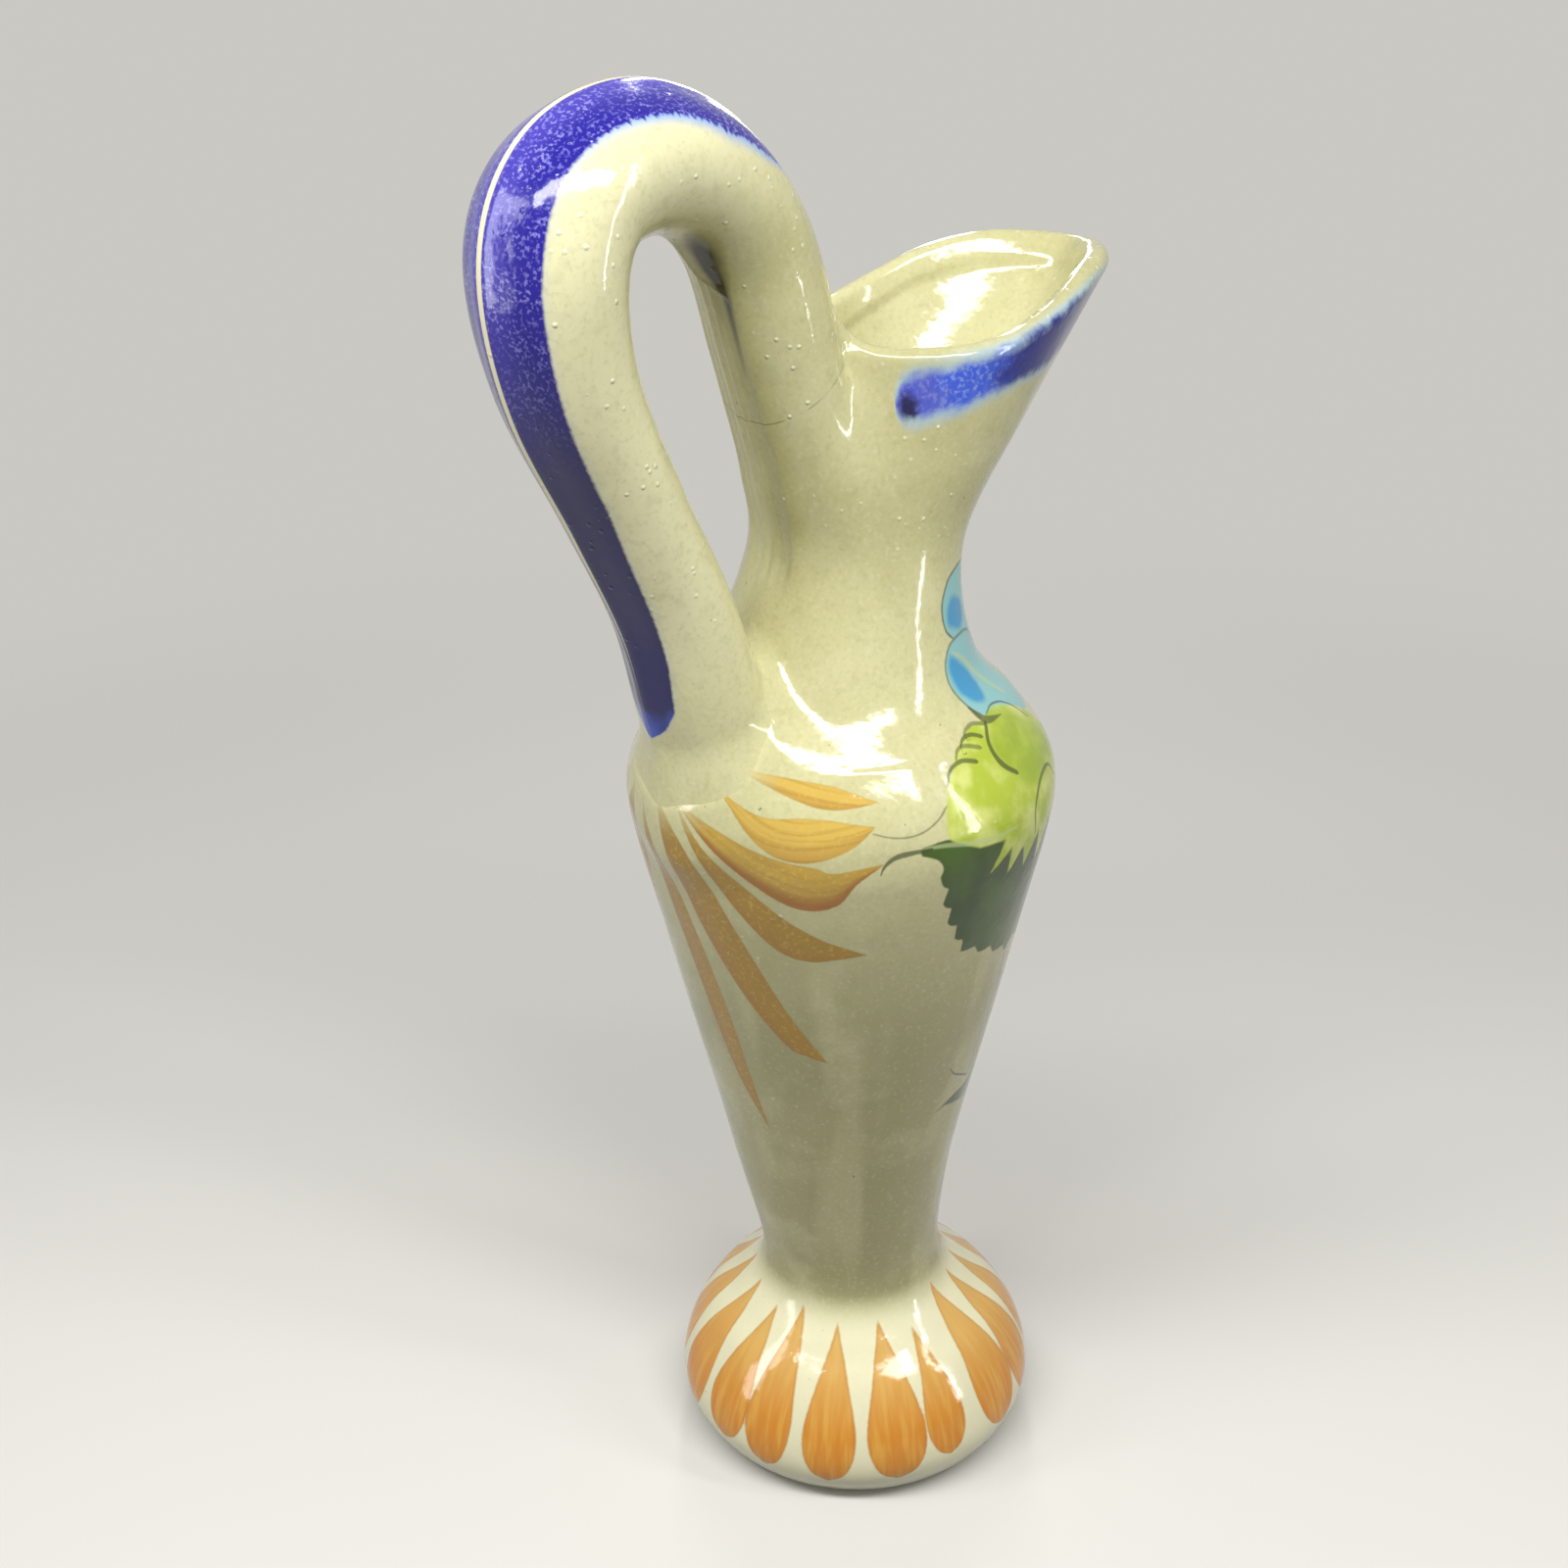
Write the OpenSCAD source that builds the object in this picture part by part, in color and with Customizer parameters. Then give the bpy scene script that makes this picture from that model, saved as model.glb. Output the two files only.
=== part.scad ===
// Glazed pottery pitcher: bun foot, tall baluster body, leaf-shaped pouring mouth
// and one high loop handle that springs from the back of the mouth to the shoulder.
// Millimetres. The table is z = 0, the spout points to +X and the handle to -X.

/* [Clay] */
// Wall of the turned sections
wall = 5; // [4:0.5:6]
// Wall of the hollow handle
handle_wall = 4.5; // [3.5:0.5:5]
// Thickness of the slip layer in each luted joint
slip = 0.8; // [0.5:0.1:1.2]

/* [Foot] */
// Widest diameter of the bun foot
foot_diameter = 77.6; // [74:0.2:84]
// Diameter of the stem, where the foot meets the body
stem_diameter = 38.6; // [36:0.2:42]
// Height of the joint between foot and body
foot_joint = 46; // [44:0.5:48]
// Diameter of the turned recess under the foot
recess_diameter = 50; // [40:1:54]
// Depth of the turned recess under the foot
recess_depth = 3.5; // [2:0.5:5]
// Thickness of the floor above the recess
floor_thickness = 6; // [5:0.5:8]

/* [Body] */
// Widest diameter, at the shoulder
shoulder_diameter = 84; // [80:0.5:90]
// Height of the widest place
shoulder_height = 157; // [154:0.5:159]
// Height of the joint between body and neck
neck_joint = 184; // [182:0.5:186]
// Diameter at the joint between body and neck
neck_joint_diameter = 51.2; // [50:0.2:53]

/* [Neck and spout] */
// Diameter of the narrowest place of the neck
waist_diameter = 40.8; // [38:0.2:43]
// Height of the narrowest place of the neck
waist_height = 204; // [202:0.5:206]
// How far the neck leans towards the spout at its narrowest place
waist_lean = 4; // [3:0.1:5]
// Distance from the axis to the tip of the spout
spout_reach = 64; // [60:0.5:68]
// Widest outer width of the mouth
mouth_width = 51; // [48:0.5:54]
// Height of the rim beside the handle
rim_height = 241.2; // [239:0.2:243]
// How much higher the rim stands along the spout
spout_rise = 8.6; // [6:0.2:10]
// Thickness of the rounded lip
lip_thickness = 4.6; // [4:0.2:5.4]

/* [Handle] */
// Height of the top of the loop
handle_top = 290; // [286:0.5:294]
// Distance from the axis to the back of the loop
handle_reach = 72.8; // [70:0.2:76]
// Height of the seam ridge along the outside of the loop
ridge = 0.9; // [0.4:0.1:1.2]
// Reach of the fillet where the loop lands on the shoulder
root_fillet = 7; // [5:0.5:8]

/* [Hidden] */
$fn = 96;

glaze = "#d2ce9c";
clay = "#c9b48a";
foot_r = foot_diameter / 2;
stem_r = stem_diameter / 2;
shoulder_r = shoulder_diameter / 2;
joint_r = neck_joint_diameter / 2;
waist_r = waist_diameter / 2;

// A curve through four neighbours, between the second and the third
function bend(a, b, c, d, t) =
    b + (c - a) * t / 2 + (2 * a - 5 * b + 4 * c - d) * t * t / 2
      + (3 * b - a - 3 * c + d) * t * t * t / 2;
// The neighbour before the first point or after the last one is a mirror image
function at(p, i) =
    i < 0 ? 2 * p[0] - p[1] :
    i >= len(p) ? 2 * p[len(p) - 1] - p[len(p) - 2] : p[i];
// The point at parameter s on the smooth curve through p
function along(p, s) =
    let (i = min(max(floor(s), 0), len(p) - 2))
    bend(at(p, i - 1), p[i], p[i + 1], at(p, i + 2), s - i);
// The whole smooth curve, with n steps between neighbours
function smooth(p, n) = [for (k = [0 : n * (len(p) - 1)]) along(p, k / n)];
function mix(a, b, t) = a + (b - a) * t;
function reverse(p) = [for (i = [len(p) - 1 : -1 : 0]) p[i]];
function unit(v) = v / norm(v);

// Turned outline from the table to just past the neck joint, as radius and height
body_rise = shoulder_height - foot_joint;
function body_r(share) = mix(stem_r, shoulder_r, share);
outline = smooth([
    [foot_r - 9.4, 0], [foot_r - 4.4, 2.2], [foot_r - 0.8, 7.5], [foot_r, 12.8],
    [foot_r - 2.2, 20], [foot_r - 6.8, 27], [stem_r + 6.6, 32.6], [stem_r + 1.7, 38.2],
    [stem_r, foot_joint], [body_r(0.10), foot_joint + body_rise * 0.14],
    [body_r(0.30), foot_joint + body_rise * 0.34], [body_r(0.54), foot_joint + body_rise * 0.55],
    [body_r(0.76), foot_joint + body_rise * 0.75], [body_r(0.94), foot_joint + body_rise * 0.91],
    [shoulder_r, shoulder_height], [shoulder_r - 1.8, shoulder_height + 7.6],
    [mix(shoulder_r, joint_r, 0.48), mix(shoulder_height, neck_joint, 0.60)],
    [joint_r, neck_joint], [joint_r - 3.4, neck_joint + 8]], 4);
function outer_r(z) = lookup(z, [for (p = outline) [p[1], p[0]]]);
// The same outline one wall further in
lining = [for (i = [1 : len(outline) - 2])
    let (run = unit(outline[i + 1] - outline[i - 1])) outline[i] + wall * [-run[1], run[0]]];
function inner_r(z) = lookup(z, [for (p = lining) [p[1], p[0]]]);
function outer_side(low, high) = concat([[outer_r(low), low]],
    [for (p = outline) if (p[1] > low && p[1] < high) p], [[outer_r(high), high]]);
function inner_side(low, high) = concat([[inner_r(low), low]],
    [for (p = lining) if (p[1] > low && p[1] < high) p], [[inner_r(high), high]]);

module turned(low, high) {
    rotate_extrude()
        polygon(concat(outer_side(low, high), reverse(inner_side(low, high))));
}

// Centre line of the handle from the shoulder over the top to the mouth:
// x, z, half thickness in the plane of the loop, half width across it
top_z = handle_top - 290;
back_x = 72.8 - handle_reach;
handle_line = [
    [-20, 146, 12.5, 17], [-27, 163, 12, 15.6], [-33.5, 181, 11.2, 13.6], [-39.8, 202, 10.2, 12.2],
    [-49.4 + back_x / 2, 223.3, 10, 12.8], [-58.7 + back_x, 244.7 + top_z / 2, 10.7, 14.3],
    [-61 + back_x, 262.8 + top_z, 11.4, 15.8], [-55.7 + back_x, 273.8 + top_z, 11.8, 15.2],
    [-43.6, 277.6 + top_z, 11.7, 14], [-30.7, 273.7 + top_z, 10.9, 13.1],
    [-20.7, 262.2 + top_z / 2, 10.7, 12.5], [-14.9, 244.3, 10.5, 12.8], [-10.4, 229.2, 10.3, 13.3]];
handle_end = len(handle_line) - 1;
// A point of the handle: s runs along the loop, angle runs round the section from
// the outside of the loop, and inset moves the point in from the surface
function handle_point(s, angle, inset) =
    let (c = along(handle_line, s),
         step = along(handle_line, s + 0.02) - along(handle_line, s - 0.02),
         run = unit([step[0], step[1]]),
         seam = ridge * pow(max(cos(angle), 0), 40),
         out = (c[2] - inset + seam) * cos(angle))
    [c[0] - run[1] * out, (c[3] - inset) * sin(angle), c[1] + run[0] * out];

// The upper joint is cut on a slant, from the corners of the mouth down to the back
joint_corner = [-6.5, rim_height + 2.3];
joint_slope = 0.8;
function above_joint(p) = p[2] - joint_corner[1] - joint_slope * (p[0] - joint_corner[0]);
// Where a line of the handle passes the joint at a height over it
function joint_stop(angle, inset, height, low = handle_end - 2.4, high = handle_end, tries = 20) =
    let (s = (low + high) / 2)
    tries == 0 ? s :
    above_joint(handle_point(s, angle, inset)) > height ?
        joint_stop(angle, inset, height, s, high, tries - 1) :
        joint_stop(angle, inset, height, low, s, tries - 1);
function joint_point(angle, inset, height) =
    handle_point(joint_stop(angle, inset, height), angle, inset);

// Angles round the handle's section. Past the corner angle the handle faces the mouth
corner_angle = 55;
saddle_angles = [for (k = [0 : 10]) mix(180, corner_angle, k / 10)];
mouth_angles = [for (k = [1 : 4]) mix(corner_angle, 0, k / 4)];
half_angles = concat(saddle_angles, mouth_angles);
handle_angles = concat(half_angles, [for (k = [len(half_angles) - 2 : -1 : 1]) -half_angles[k]]);

// Half of the rim from the corner at the handle to the tip of the spout:
// share of the reach, share of half the width, share of the rise, angle on the waist
corner = joint_point(corner_angle, 0, -slip / 2);
function rim_station(reach, width, rise, angle) =
    [mix(corner[0], spout_reach, reach), mouth_width / 2 * width,
     rim_height + spout_rise * rise, angle];
half_rim = smooth([
    [corner[0], corner[1], corner[2], 118], rim_station(0.11, 0.69, -0.02, 101),
    rim_station(0.25, 0.91, -0.05, 84), rim_station(0.39, 1, 0.06, 68),
    rim_station(0.55, 0.97, 0.42, 52), rim_station(0.70, 0.85, 0.82, 38),
    rim_station(0.84, 0.65, 1, 25), rim_station(0.95, 0.34, 0.96, 12),
    [spout_reach, 0, rim_height + spout_rise * 0.88, 0]], 3);
half_saddle = [for (a = [for (k = [0 : len(saddle_angles) - 2]) saddle_angles[k]])
    let (p = joint_point(a, 0, -slip / 2))
    [p[0], p[1], p[2], mix(118, 180, (a - corner_angle) / (180 - corner_angle))]];
half_edge = concat(half_saddle, half_rim);
edge = concat(half_edge, [for (k = [len(half_edge) - 2 : -1 : 1])
    [half_edge[k][0], -half_edge[k][1], half_edge[k][2], -half_edge[k][3]]]);
columns = len(edge);
saddle_columns = len(half_saddle);
// Columns at the back end on the slanted joint, the rest end in the rounded lip
function on_saddle(j) = j <= saddle_columns || j >= columns - saddle_columns;
function saddle_angle(j) = j <= saddle_columns ? saddle_angles[j] : -saddle_angles[columns - j];

// Neck and spout: every column is a smooth line from the body's shoulder through
// the neck's waist to its own point of the rim
neck_steps = 4;
// The line takes its first direction from a ring this far down the body
neck_start = 8;
function round_level(z, lean, r, angle) = [lean + r * cos(angle), r * sin(angle), z];
function neck_column(e) =
    let (a = e[3], rim = [e[0], e[1], e[2]],
         waist = round_level(waist_height, waist_lean, waist_r, a),
         share = lookup(abs(a), [[30, 0.5], [90, 0.45], [150, 0.3]]),
         middle = [mix(waist[0], rim[0], share), mix(waist[1], rim[1], share), mix(waist[2], rim[2], 0.5)])
    smooth([round_level(neck_joint - neck_start, 0, outer_r(neck_joint - neck_start), a),
            round_level(neck_joint + slip, 0, joint_r, a), waist, middle, rim], neck_steps);
neck_outer = let (all = [for (e = edge) neck_column(e)])
    [for (k = [neck_steps : len(all[0]) - 1]) [for (c = all) c[k]]];
neck_rows = len(neck_outer);
function ring_step(g, k, j) = g[k][(j + 1) % columns] - g[k][(j + columns - 1) % columns];
function rise_step(g, k, j) = g[min(k + 1, neck_rows - 1)][j] - g[max(k - 1, 0)][j];
function neck_out(k, j) = unit(cross(rise_step(neck_outer, k, j), ring_step(neck_outer, k, j)));
// The wall thins from the body's wall to the lip
function neck_wall(k) = mix(wall, lip_thickness, k / (neck_rows - 1));
function flat(v) = unit([v[0], v[1], 0]);
neck_inner = [for (k = [0 : neck_rows - 1]) [for (j = [0 : columns - 1])
    let (p = neck_outer[k][j])
    k == 0 ? p - flat([p[0], p[1], 0]) * (joint_r - inner_r(neck_joint)) :
    k == neck_rows - 1 && on_saddle(j) ? joint_point(saddle_angle(j), handle_wall, -slip / 2) :
    p - neck_out(k, j) * neck_wall(k)]];
lip_steps = 5;
lip_rows = [for (i = [1 : lip_steps]) [for (j = [0 : columns - 1])
    let (a = neck_outer[neck_rows - 1][j], b = neck_inner[neck_rows - 1][j],
         turn = 180 * i / (lip_steps + 1),
         up = unit(rise_step(neck_outer, neck_rows - 1, j)) * norm(a - b) / 2)
    (a + b) / 2 + (a - b) / 2 * cos(turn) + (on_saddle(j) ? [0, 0, 0] : up * sin(turn))]];

// Triangles of a closed band of rings, and of the same with its ends joined.
// Two bands that meet take opposite diagonals, so that their triangles lie on each other
function band_faces(rows, n, join, mate = false) =
    [for (k = [0 : join ? rows - 1 : rows - 2]) for (j = [0 : n - 1])
        let (a = k * n + j, b = k * n + (j + 1) % n, c = ((k + 1) % rows) * n + j,
             d = ((k + 1) % rows) * n + (j + 1) % n)
        each mate ? [[a, b, c], [b, d, c]] : [[a, d, c], [a, b, d]]];
function join_rows(g) = [for (r = g) each r];
function middle_of(ring) = [for (p = ring) 1] * ring / len(ring);

// Distance of a point from the outside of the body or the lower neck
neck_back = [for (row = neck_outer) [row[0][2], row[0][0]]];
neck_round = [[neck_joint, joint_r], [mix(neck_joint, waist_height, 0.4), mix(joint_r, waist_r, 0.62)],
              [waist_height, waist_r]];
function off_wall(p) =
    p[2] <= neck_joint ? norm([p[0], p[1]]) - outer_r(p[2]) :
    let (r = lookup(p[2], neck_round)) norm([p[0] - lookup(p[2], neck_back) - r, p[1]]) - r;
// Where a line of the handle comes down to a distance from that wall
function root_stop(angle, inset, gap, low = 0, high = 3.6, tries = 22) =
    let (s = (low + high) / 2)
    tries == 0 ? s :
    off_wall(handle_point(s, angle, inset)) > gap ?
        root_stop(angle, inset, gap, low, s, tries - 1) :
        root_stop(angle, inset, gap, s, high, tries - 1);

function root_point(angle, inset, gap) = handle_point(root_stop(angle, inset, gap), angle, inset);
// The fillet of slip grips the handle up to this line
root_grip = 0.35;
function grip_point(angle, inset) = handle_point(root_stop(angle, 0, slip) + root_grip, angle, inset);

// The slip stands back a hair from the glaze, thins to a feather edge and beds on the wall
seam_groove = 0.15;
feather = 0.35;
bed = 0.1;

// The handle is a deep hollow: its upper end is closed, its root opens on the body
handle_steps = 36;
function handle_ring(share, inset, top_gap) = [for (a = handle_angles)
    let (low = root_stop(a, inset, slip), high = joint_stop(a, inset, top_gap))
    handle_point(share < 0 ? low : mix(low + root_grip, high, share), a, inset)];
function handle_skin(inset, top_gap) = [for (k = [-1 : handle_steps])
    handle_ring(k / handle_steps, inset, top_gap)];

module turned_ring(z) {
    rotate_extrude()
        polygon([[outer_r(z), z], [outer_r(z), z + slip], [inner_r(z), z + slip], [inner_r(z), z]]);
}

module foot() {
    floor_z = recess_depth + floor_thickness;
    recess_r = recess_diameter / 2;
    color(glaze)
        rotate_extrude()
            polygon(concat(
                [[0, recess_depth], [recess_r - recess_depth, recess_depth], [recess_r, 0]],
                outer_side(0, foot_joint - slip),
                reverse(inner_side(floor_z, foot_joint - slip)), [[0, floor_z]]));
}

module foot_seam() {
    color(clay)
        turned_ring(foot_joint - slip);
}

module body() {
    color(glaze)
        turned(foot_joint, neck_joint);
}

module neck_seam() {
    color(clay)
        rotate_extrude()
            translate([inner_r(neck_joint), neck_joint])
                square([joint_r - inner_r(neck_joint), slip]);
}

module neck() {
    grid = concat(neck_outer, lip_rows, reverse(neck_inner));
    color(glaze)
        polyhedron(join_rows(grid), band_faces(len(grid), columns, true));
}

module handle() {
    outside = handle_skin(0, slip / 2);
    inside = handle_skin(handle_wall, handle_wall);
    n = len(handle_angles);
    grid = concat(reverse(outside), inside);
    last = len(grid) * n;
    points = concat(join_rows(grid), [middle_of(grid[0]), middle_of(grid[len(grid) - 1])]);
    color(glaze)
        polyhedron(points, concat(band_faces(len(grid), n, false),
            [for (j = [0 : n - 1]) [j, last, (j + 1) % n]],
            [for (j = [0 : n - 1]) [last - n + (j + 1) % n, last + 1, last - n + j]]));
}

module handle_top_seam() {
    angles = concat(reverse(saddle_angles), [for (k = [1 : len(saddle_angles) - 1]) -saddle_angles[k]]);
    grid = [for (a = angles) [
        joint_point(a, seam_groove, -slip / 2), joint_point(a, seam_groove, slip / 2),
        joint_point(a, handle_wall, slip / 2), joint_point(a, handle_wall, -slip / 2)]];
    last = 4 * len(angles) - 1;
    color(clay)
        polyhedron(join_rows(grid), concat(band_faces(len(grid), 4, false),
            [[0, 3, 2], [0, 2, 1], [last, last - 3, last - 2], [last, last - 2, last - 1]]));
}

module handle_root_seam() {
    columns = [for (a = handle_angles)
        let (reach = root_fillet * (0.75 - 0.25 * cos(a)))
        [root_point(a, handle_wall, bed), root_point(a, handle_wall, slip), root_point(a, 0, slip),
         grip_point(a, 0), grip_point(a, -feather),
         root_point(a, -0.2 * reach, 0.5 * reach), root_point(a, -0.5 * reach, 0.22 * reach),
         root_point(a, -reach, feather), root_point(a, -reach, bed),
         root_point(a, -0.5 * reach, bed), root_point(a, 0, bed)]];
    grid = [for (k = [0 : len(columns[0]) - 1]) [for (c = columns) c[k]]];
    color(clay)
        polyhedron(join_rows(grid), band_faces(len(grid), len(columns), true, mate = true));
}

foot();
foot_seam();
body();
neck_seam();
neck();
handle();
handle_top_seam();
handle_root_seam();
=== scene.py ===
# %% [markdown]
# # A hand-painted pottery pitcher
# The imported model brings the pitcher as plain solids: a bun foot, a baluster body, a leaf-shaped
# mouth and a hollow loop handle. This lesson makes the fired skin over them. The shapes are
# surfaces worked out with numpy from the same few measures, and the decoration is brushwork that
# each surface carries as attributes. Lengths are millimetres until a mesh is made.

# %% Load the frame
import bpy
import numpy as np
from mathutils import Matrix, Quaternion, Vector


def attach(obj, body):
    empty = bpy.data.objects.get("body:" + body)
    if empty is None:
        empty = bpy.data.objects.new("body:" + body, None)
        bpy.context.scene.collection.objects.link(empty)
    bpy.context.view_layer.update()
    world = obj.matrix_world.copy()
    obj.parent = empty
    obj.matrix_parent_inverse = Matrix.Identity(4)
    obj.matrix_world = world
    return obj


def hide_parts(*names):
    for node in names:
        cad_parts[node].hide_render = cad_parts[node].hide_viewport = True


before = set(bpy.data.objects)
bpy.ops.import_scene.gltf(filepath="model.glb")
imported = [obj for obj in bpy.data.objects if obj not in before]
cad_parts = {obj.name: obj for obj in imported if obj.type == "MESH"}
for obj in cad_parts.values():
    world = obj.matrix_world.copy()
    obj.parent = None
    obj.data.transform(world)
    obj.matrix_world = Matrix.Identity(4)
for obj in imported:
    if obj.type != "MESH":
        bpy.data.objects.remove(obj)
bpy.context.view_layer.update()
MM = 1000.0
print("nodes:", ", ".join(sorted(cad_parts)))

# %% [markdown]
# ## Curves through a few points
# A potter's profile is a soft line through a handful of places: the foot, the stem, the shoulder.
# Bezier handles would need tuning by hand. A curve that passes through every given point needs
# none, and it works the same on single points and on whole rings of points.

# %% Smooth steps and smooth curves
def share(value, low, high):
    """How far a value is from low to high, as a soft step from 0 to 1: t squared times (3 - 2 t)."""
    t = np.clip((np.asarray(value, float) - low) / (high - low), 0, 1)
    return t * t * (3 - 2 * t)


def mix(a, b, t):
    """From a to b by the share t."""
    return a + (b - a) * t


def bell(distance, width):
    """One in the middle, soft to nought on both sides: e to the minus square of distance over width."""
    return np.exp(-((distance / width) ** 2))


def unit(vectors):
    """The same directions, all with a length of one."""
    return vectors / np.maximum(np.linalg.norm(vectors, axis=-1, keepdims=True), 1e-9)


def bend(a, b, c, d, t):
    """Between b and c: the cubic whose slope at b is half of c - a, and at c half of d - b."""
    return (b + (c - a) * t / 2 + (2 * a - 5 * b + 4 * c - d) * t**2 / 2
            + (3 * b - a - 3 * c + d) * t**3 / 2)


def smooth_curve(points, steps, before=None, after=None):
    """The curve through all points, with so many steps between neighbours. Past an end it goes on as it was."""
    points = np.asarray(points, float)
    before = 2 * points[0] - points[1] if before is None else before
    after = 2 * points[-1] - points[-2] if after is None else after
    row = np.concatenate([[before], points, [after]])[:, None]
    t = (np.arange(steps) / steps).reshape((1, steps) + (1,) * (points.ndim - 1))
    spans = bend(row[:-3], row[1:-2], row[2:-1], row[3:], t)
    return np.concatenate([spans.reshape((-1,) + points.shape[1:]), points[-1:]])


def evenly(curve, count):
    """The same curve, as so many points at equal distances."""
    run = np.concatenate([[0], np.cumsum(np.linalg.norm(np.diff(curve, axis=0), axis=1))])
    return np.stack([np.interp(np.linspace(0, run[-1], count), run, line) for line in curve.T], axis=1)


def even_steps(curve, step):
    """The same curve, with points at equal distances of about one step."""
    length = np.linalg.norm(np.diff(curve, axis=0), axis=1).sum()
    return evenly(curve, int(round(length / step)) + 1)


print("halfway along a soft step:", share(0.5, 0, 1))

# %% [markdown]
# ## The turned outline
# Foot, body and shoulder were thrown on a wheel, so they are one outline carried round the axis.
# The points are radius and height. The outline stops on the shoulder, where the neck starts to
# leave the round and lean towards the spout.

# %% Outline of foot and body
FOOT_R, STEM_R, SHOULDER_R, NECK_R, WAIST_R = 38.8, 19.3, 42.0, 25.6, 20.4
FOOT_JOINT, SHOULDER_Z, NECK_JOINT, WAIST_Z, WAIST_LEAN = 46.0, 157.0, 184.0, 204.0, 4.0
CURVE_STEPS, GRID_STEP = 24, 0.8
foot_line = [[FOOT_R - 9.4, 0], [FOOT_R - 4.4, 2.2], [FOOT_R - 0.8, 7.5], [FOOT_R, 12.8], [FOOT_R - 2.2, 20],
             [FOOT_R - 6.8, 27], [STEM_R + 6.6, 32.6], [STEM_R + 1.7, 38.2], [STEM_R, FOOT_JOINT]]
# Shares of the way from stem to shoulder, outwards and upwards
body_share = np.array([[0.10, 0.14], [0.30, 0.34], [0.54, 0.55], [0.76, 0.75], [0.94, 0.91], [1, 1]])
body_line = mix(np.array([STEM_R, FOOT_JOINT]), np.array([SHOULDER_R, SHOULDER_Z]), body_share)
shoulder_line = [[SHOULDER_R - 1.8, SHOULDER_Z + 7.6],
                 [mix(SHOULDER_R, NECK_R, 0.48), mix(SHOULDER_Z, NECK_JOINT, 0.60)]]
outline = np.concatenate([foot_line, body_line, shoulder_line])
profile = even_steps(smooth_curve(outline, CURVE_STEPS, after=[NECK_R, NECK_JOINT]), GRID_STEP)
print("turned outline:", len(profile), "points up to z", profile[-1, 1])

# %% [markdown]
# ## The line of the handle
# The handle is a pulled loop of clay. It springs from the back of the mouth, rises, turns over
# and comes down on the shoulder. It is a tube along a centre line that lies in one plane, with an
# oval section that changes on the way and a fine seam ridge along its outside.

# %% Points on the loop
# Centre line from shoulder to mouth: x, z, half thickness in the plane of the loop, half width across it
LOOP = np.array([
    [-20, 146, 12.5, 17], [-27, 163, 12, 15.6], [-33.5, 181, 11.2, 13.6], [-39.8, 202, 10.2, 12.2],
    [-49.4, 223.3, 10, 12.8], [-58.7, 244.7, 10.7, 14.3], [-61, 262.8, 11.4, 15.8],
    [-55.7, 273.8, 11.8, 15.2], [-43.6, 277.6, 11.7, 14], [-30.7, 273.7, 10.9, 13.1],
    [-20.7, 262.2, 10.7, 12.5], [-14.9, 244.3, 10.5, 12.8], [-10.4, 229.2, 10.3, 13.3]])
RIDGE, RIDGE_POWER, NEAR_BY = 0.9, 40, 0.02
loop_padded = np.concatenate([[2 * LOOP[0] - LOOP[1]], LOOP, [2 * LOOP[-1] - LOOP[-2]]])


def loop_at(s):
    """Centre, half thickness and half width at s, which counts the points of the line."""
    i = np.clip(np.floor(s).astype(int), 0, len(LOOP) - 2)
    return bend(*(loop_padded[i + k] for k in range(4)), (s - i)[..., None])


def loop_point(s, angle):
    """Point of the loop's skin: centre + normal x thickness x cos(angle), and width x sin(angle) across."""
    s, angle = np.broadcast_arrays(np.asarray(s, float), np.radians(angle))
    c = loop_at(s)
    run = unit((loop_at(s + NEAR_BY) - loop_at(s - NEAR_BY))[..., :2])
    out = (c[..., 2] + RIDGE * np.maximum(np.cos(angle), 0) ** RIDGE_POWER) * np.cos(angle)
    return np.stack([c[..., 0] - run[..., 1] * out, c[..., 3] * np.sin(angle), c[..., 1] + run[..., 0] * out], -1)


print("top of the loop:", loop_point(8.0, 0.0))

# %% [markdown]
# ## Neck, mouth and spout
# The neck was thrown round and then pressed by hand into a leaf with a spout. At the back its clay
# runs on into the handle without an edge. So every column of the neck is a smooth line from the
# shoulder through the narrow waist to its own end: in front a point of the rim, at the back a point
# of the loop, whose direction it takes over.

# %% The joint between neck and handle
COLUMNS = 360
column = np.arange(COLUMNS) - 180.0
turn, side = np.radians(column), np.abs(column)
CORNER_COLUMN, CORNER_ANGLE = 118.0, 55.0
RIM_Z, SPOUT_RISE, SPOUT_REACH, MOUTH_HALF = 241.2, 8.6, 64.0, 25.5
# The joint is a slanted plane, met between two places on the loop
JOINT_X, JOINT_Z, JOINT_SLOPE, JOINT_SPAN = -6.5, RIM_Z + 2.3, 0.8, (9.6, 12.0)


def halved(low, high, too_far):
    """Halves a span thirty times and keeps the half in which the test turns true."""
    for _ in range(30):
        middle = (low + high) / 2
        past = too_far(middle)
        low, high = np.where(past, low, middle), np.where(past, middle, high)
    return low


def joint_stop(angle):
    """Where a line of the loop passes the joint, found by halving."""
    def below(s):
        x, _, z = np.moveaxis(loop_point(s, angle), -1, 0)
        return z - JOINT_Z - JOINT_SLOPE * (x - JOINT_X) <= 0

    return halved(*(np.full(np.shape(angle), s) for s in JOINT_SPAN), below)


print("joint at the middle of the back:", joint_stop(180.0))

# %% Where the columns of the neck end
back_angle = mix(CORNER_ANGLE, 180.0, np.clip((side - CORNER_COLUMN) / (180 - CORNER_COLUMN), 0, 1))
back_stop = joint_stop(back_angle)
corner = loop_point(joint_stop(CORNER_ANGLE), CORNER_ANGLE)
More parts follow.
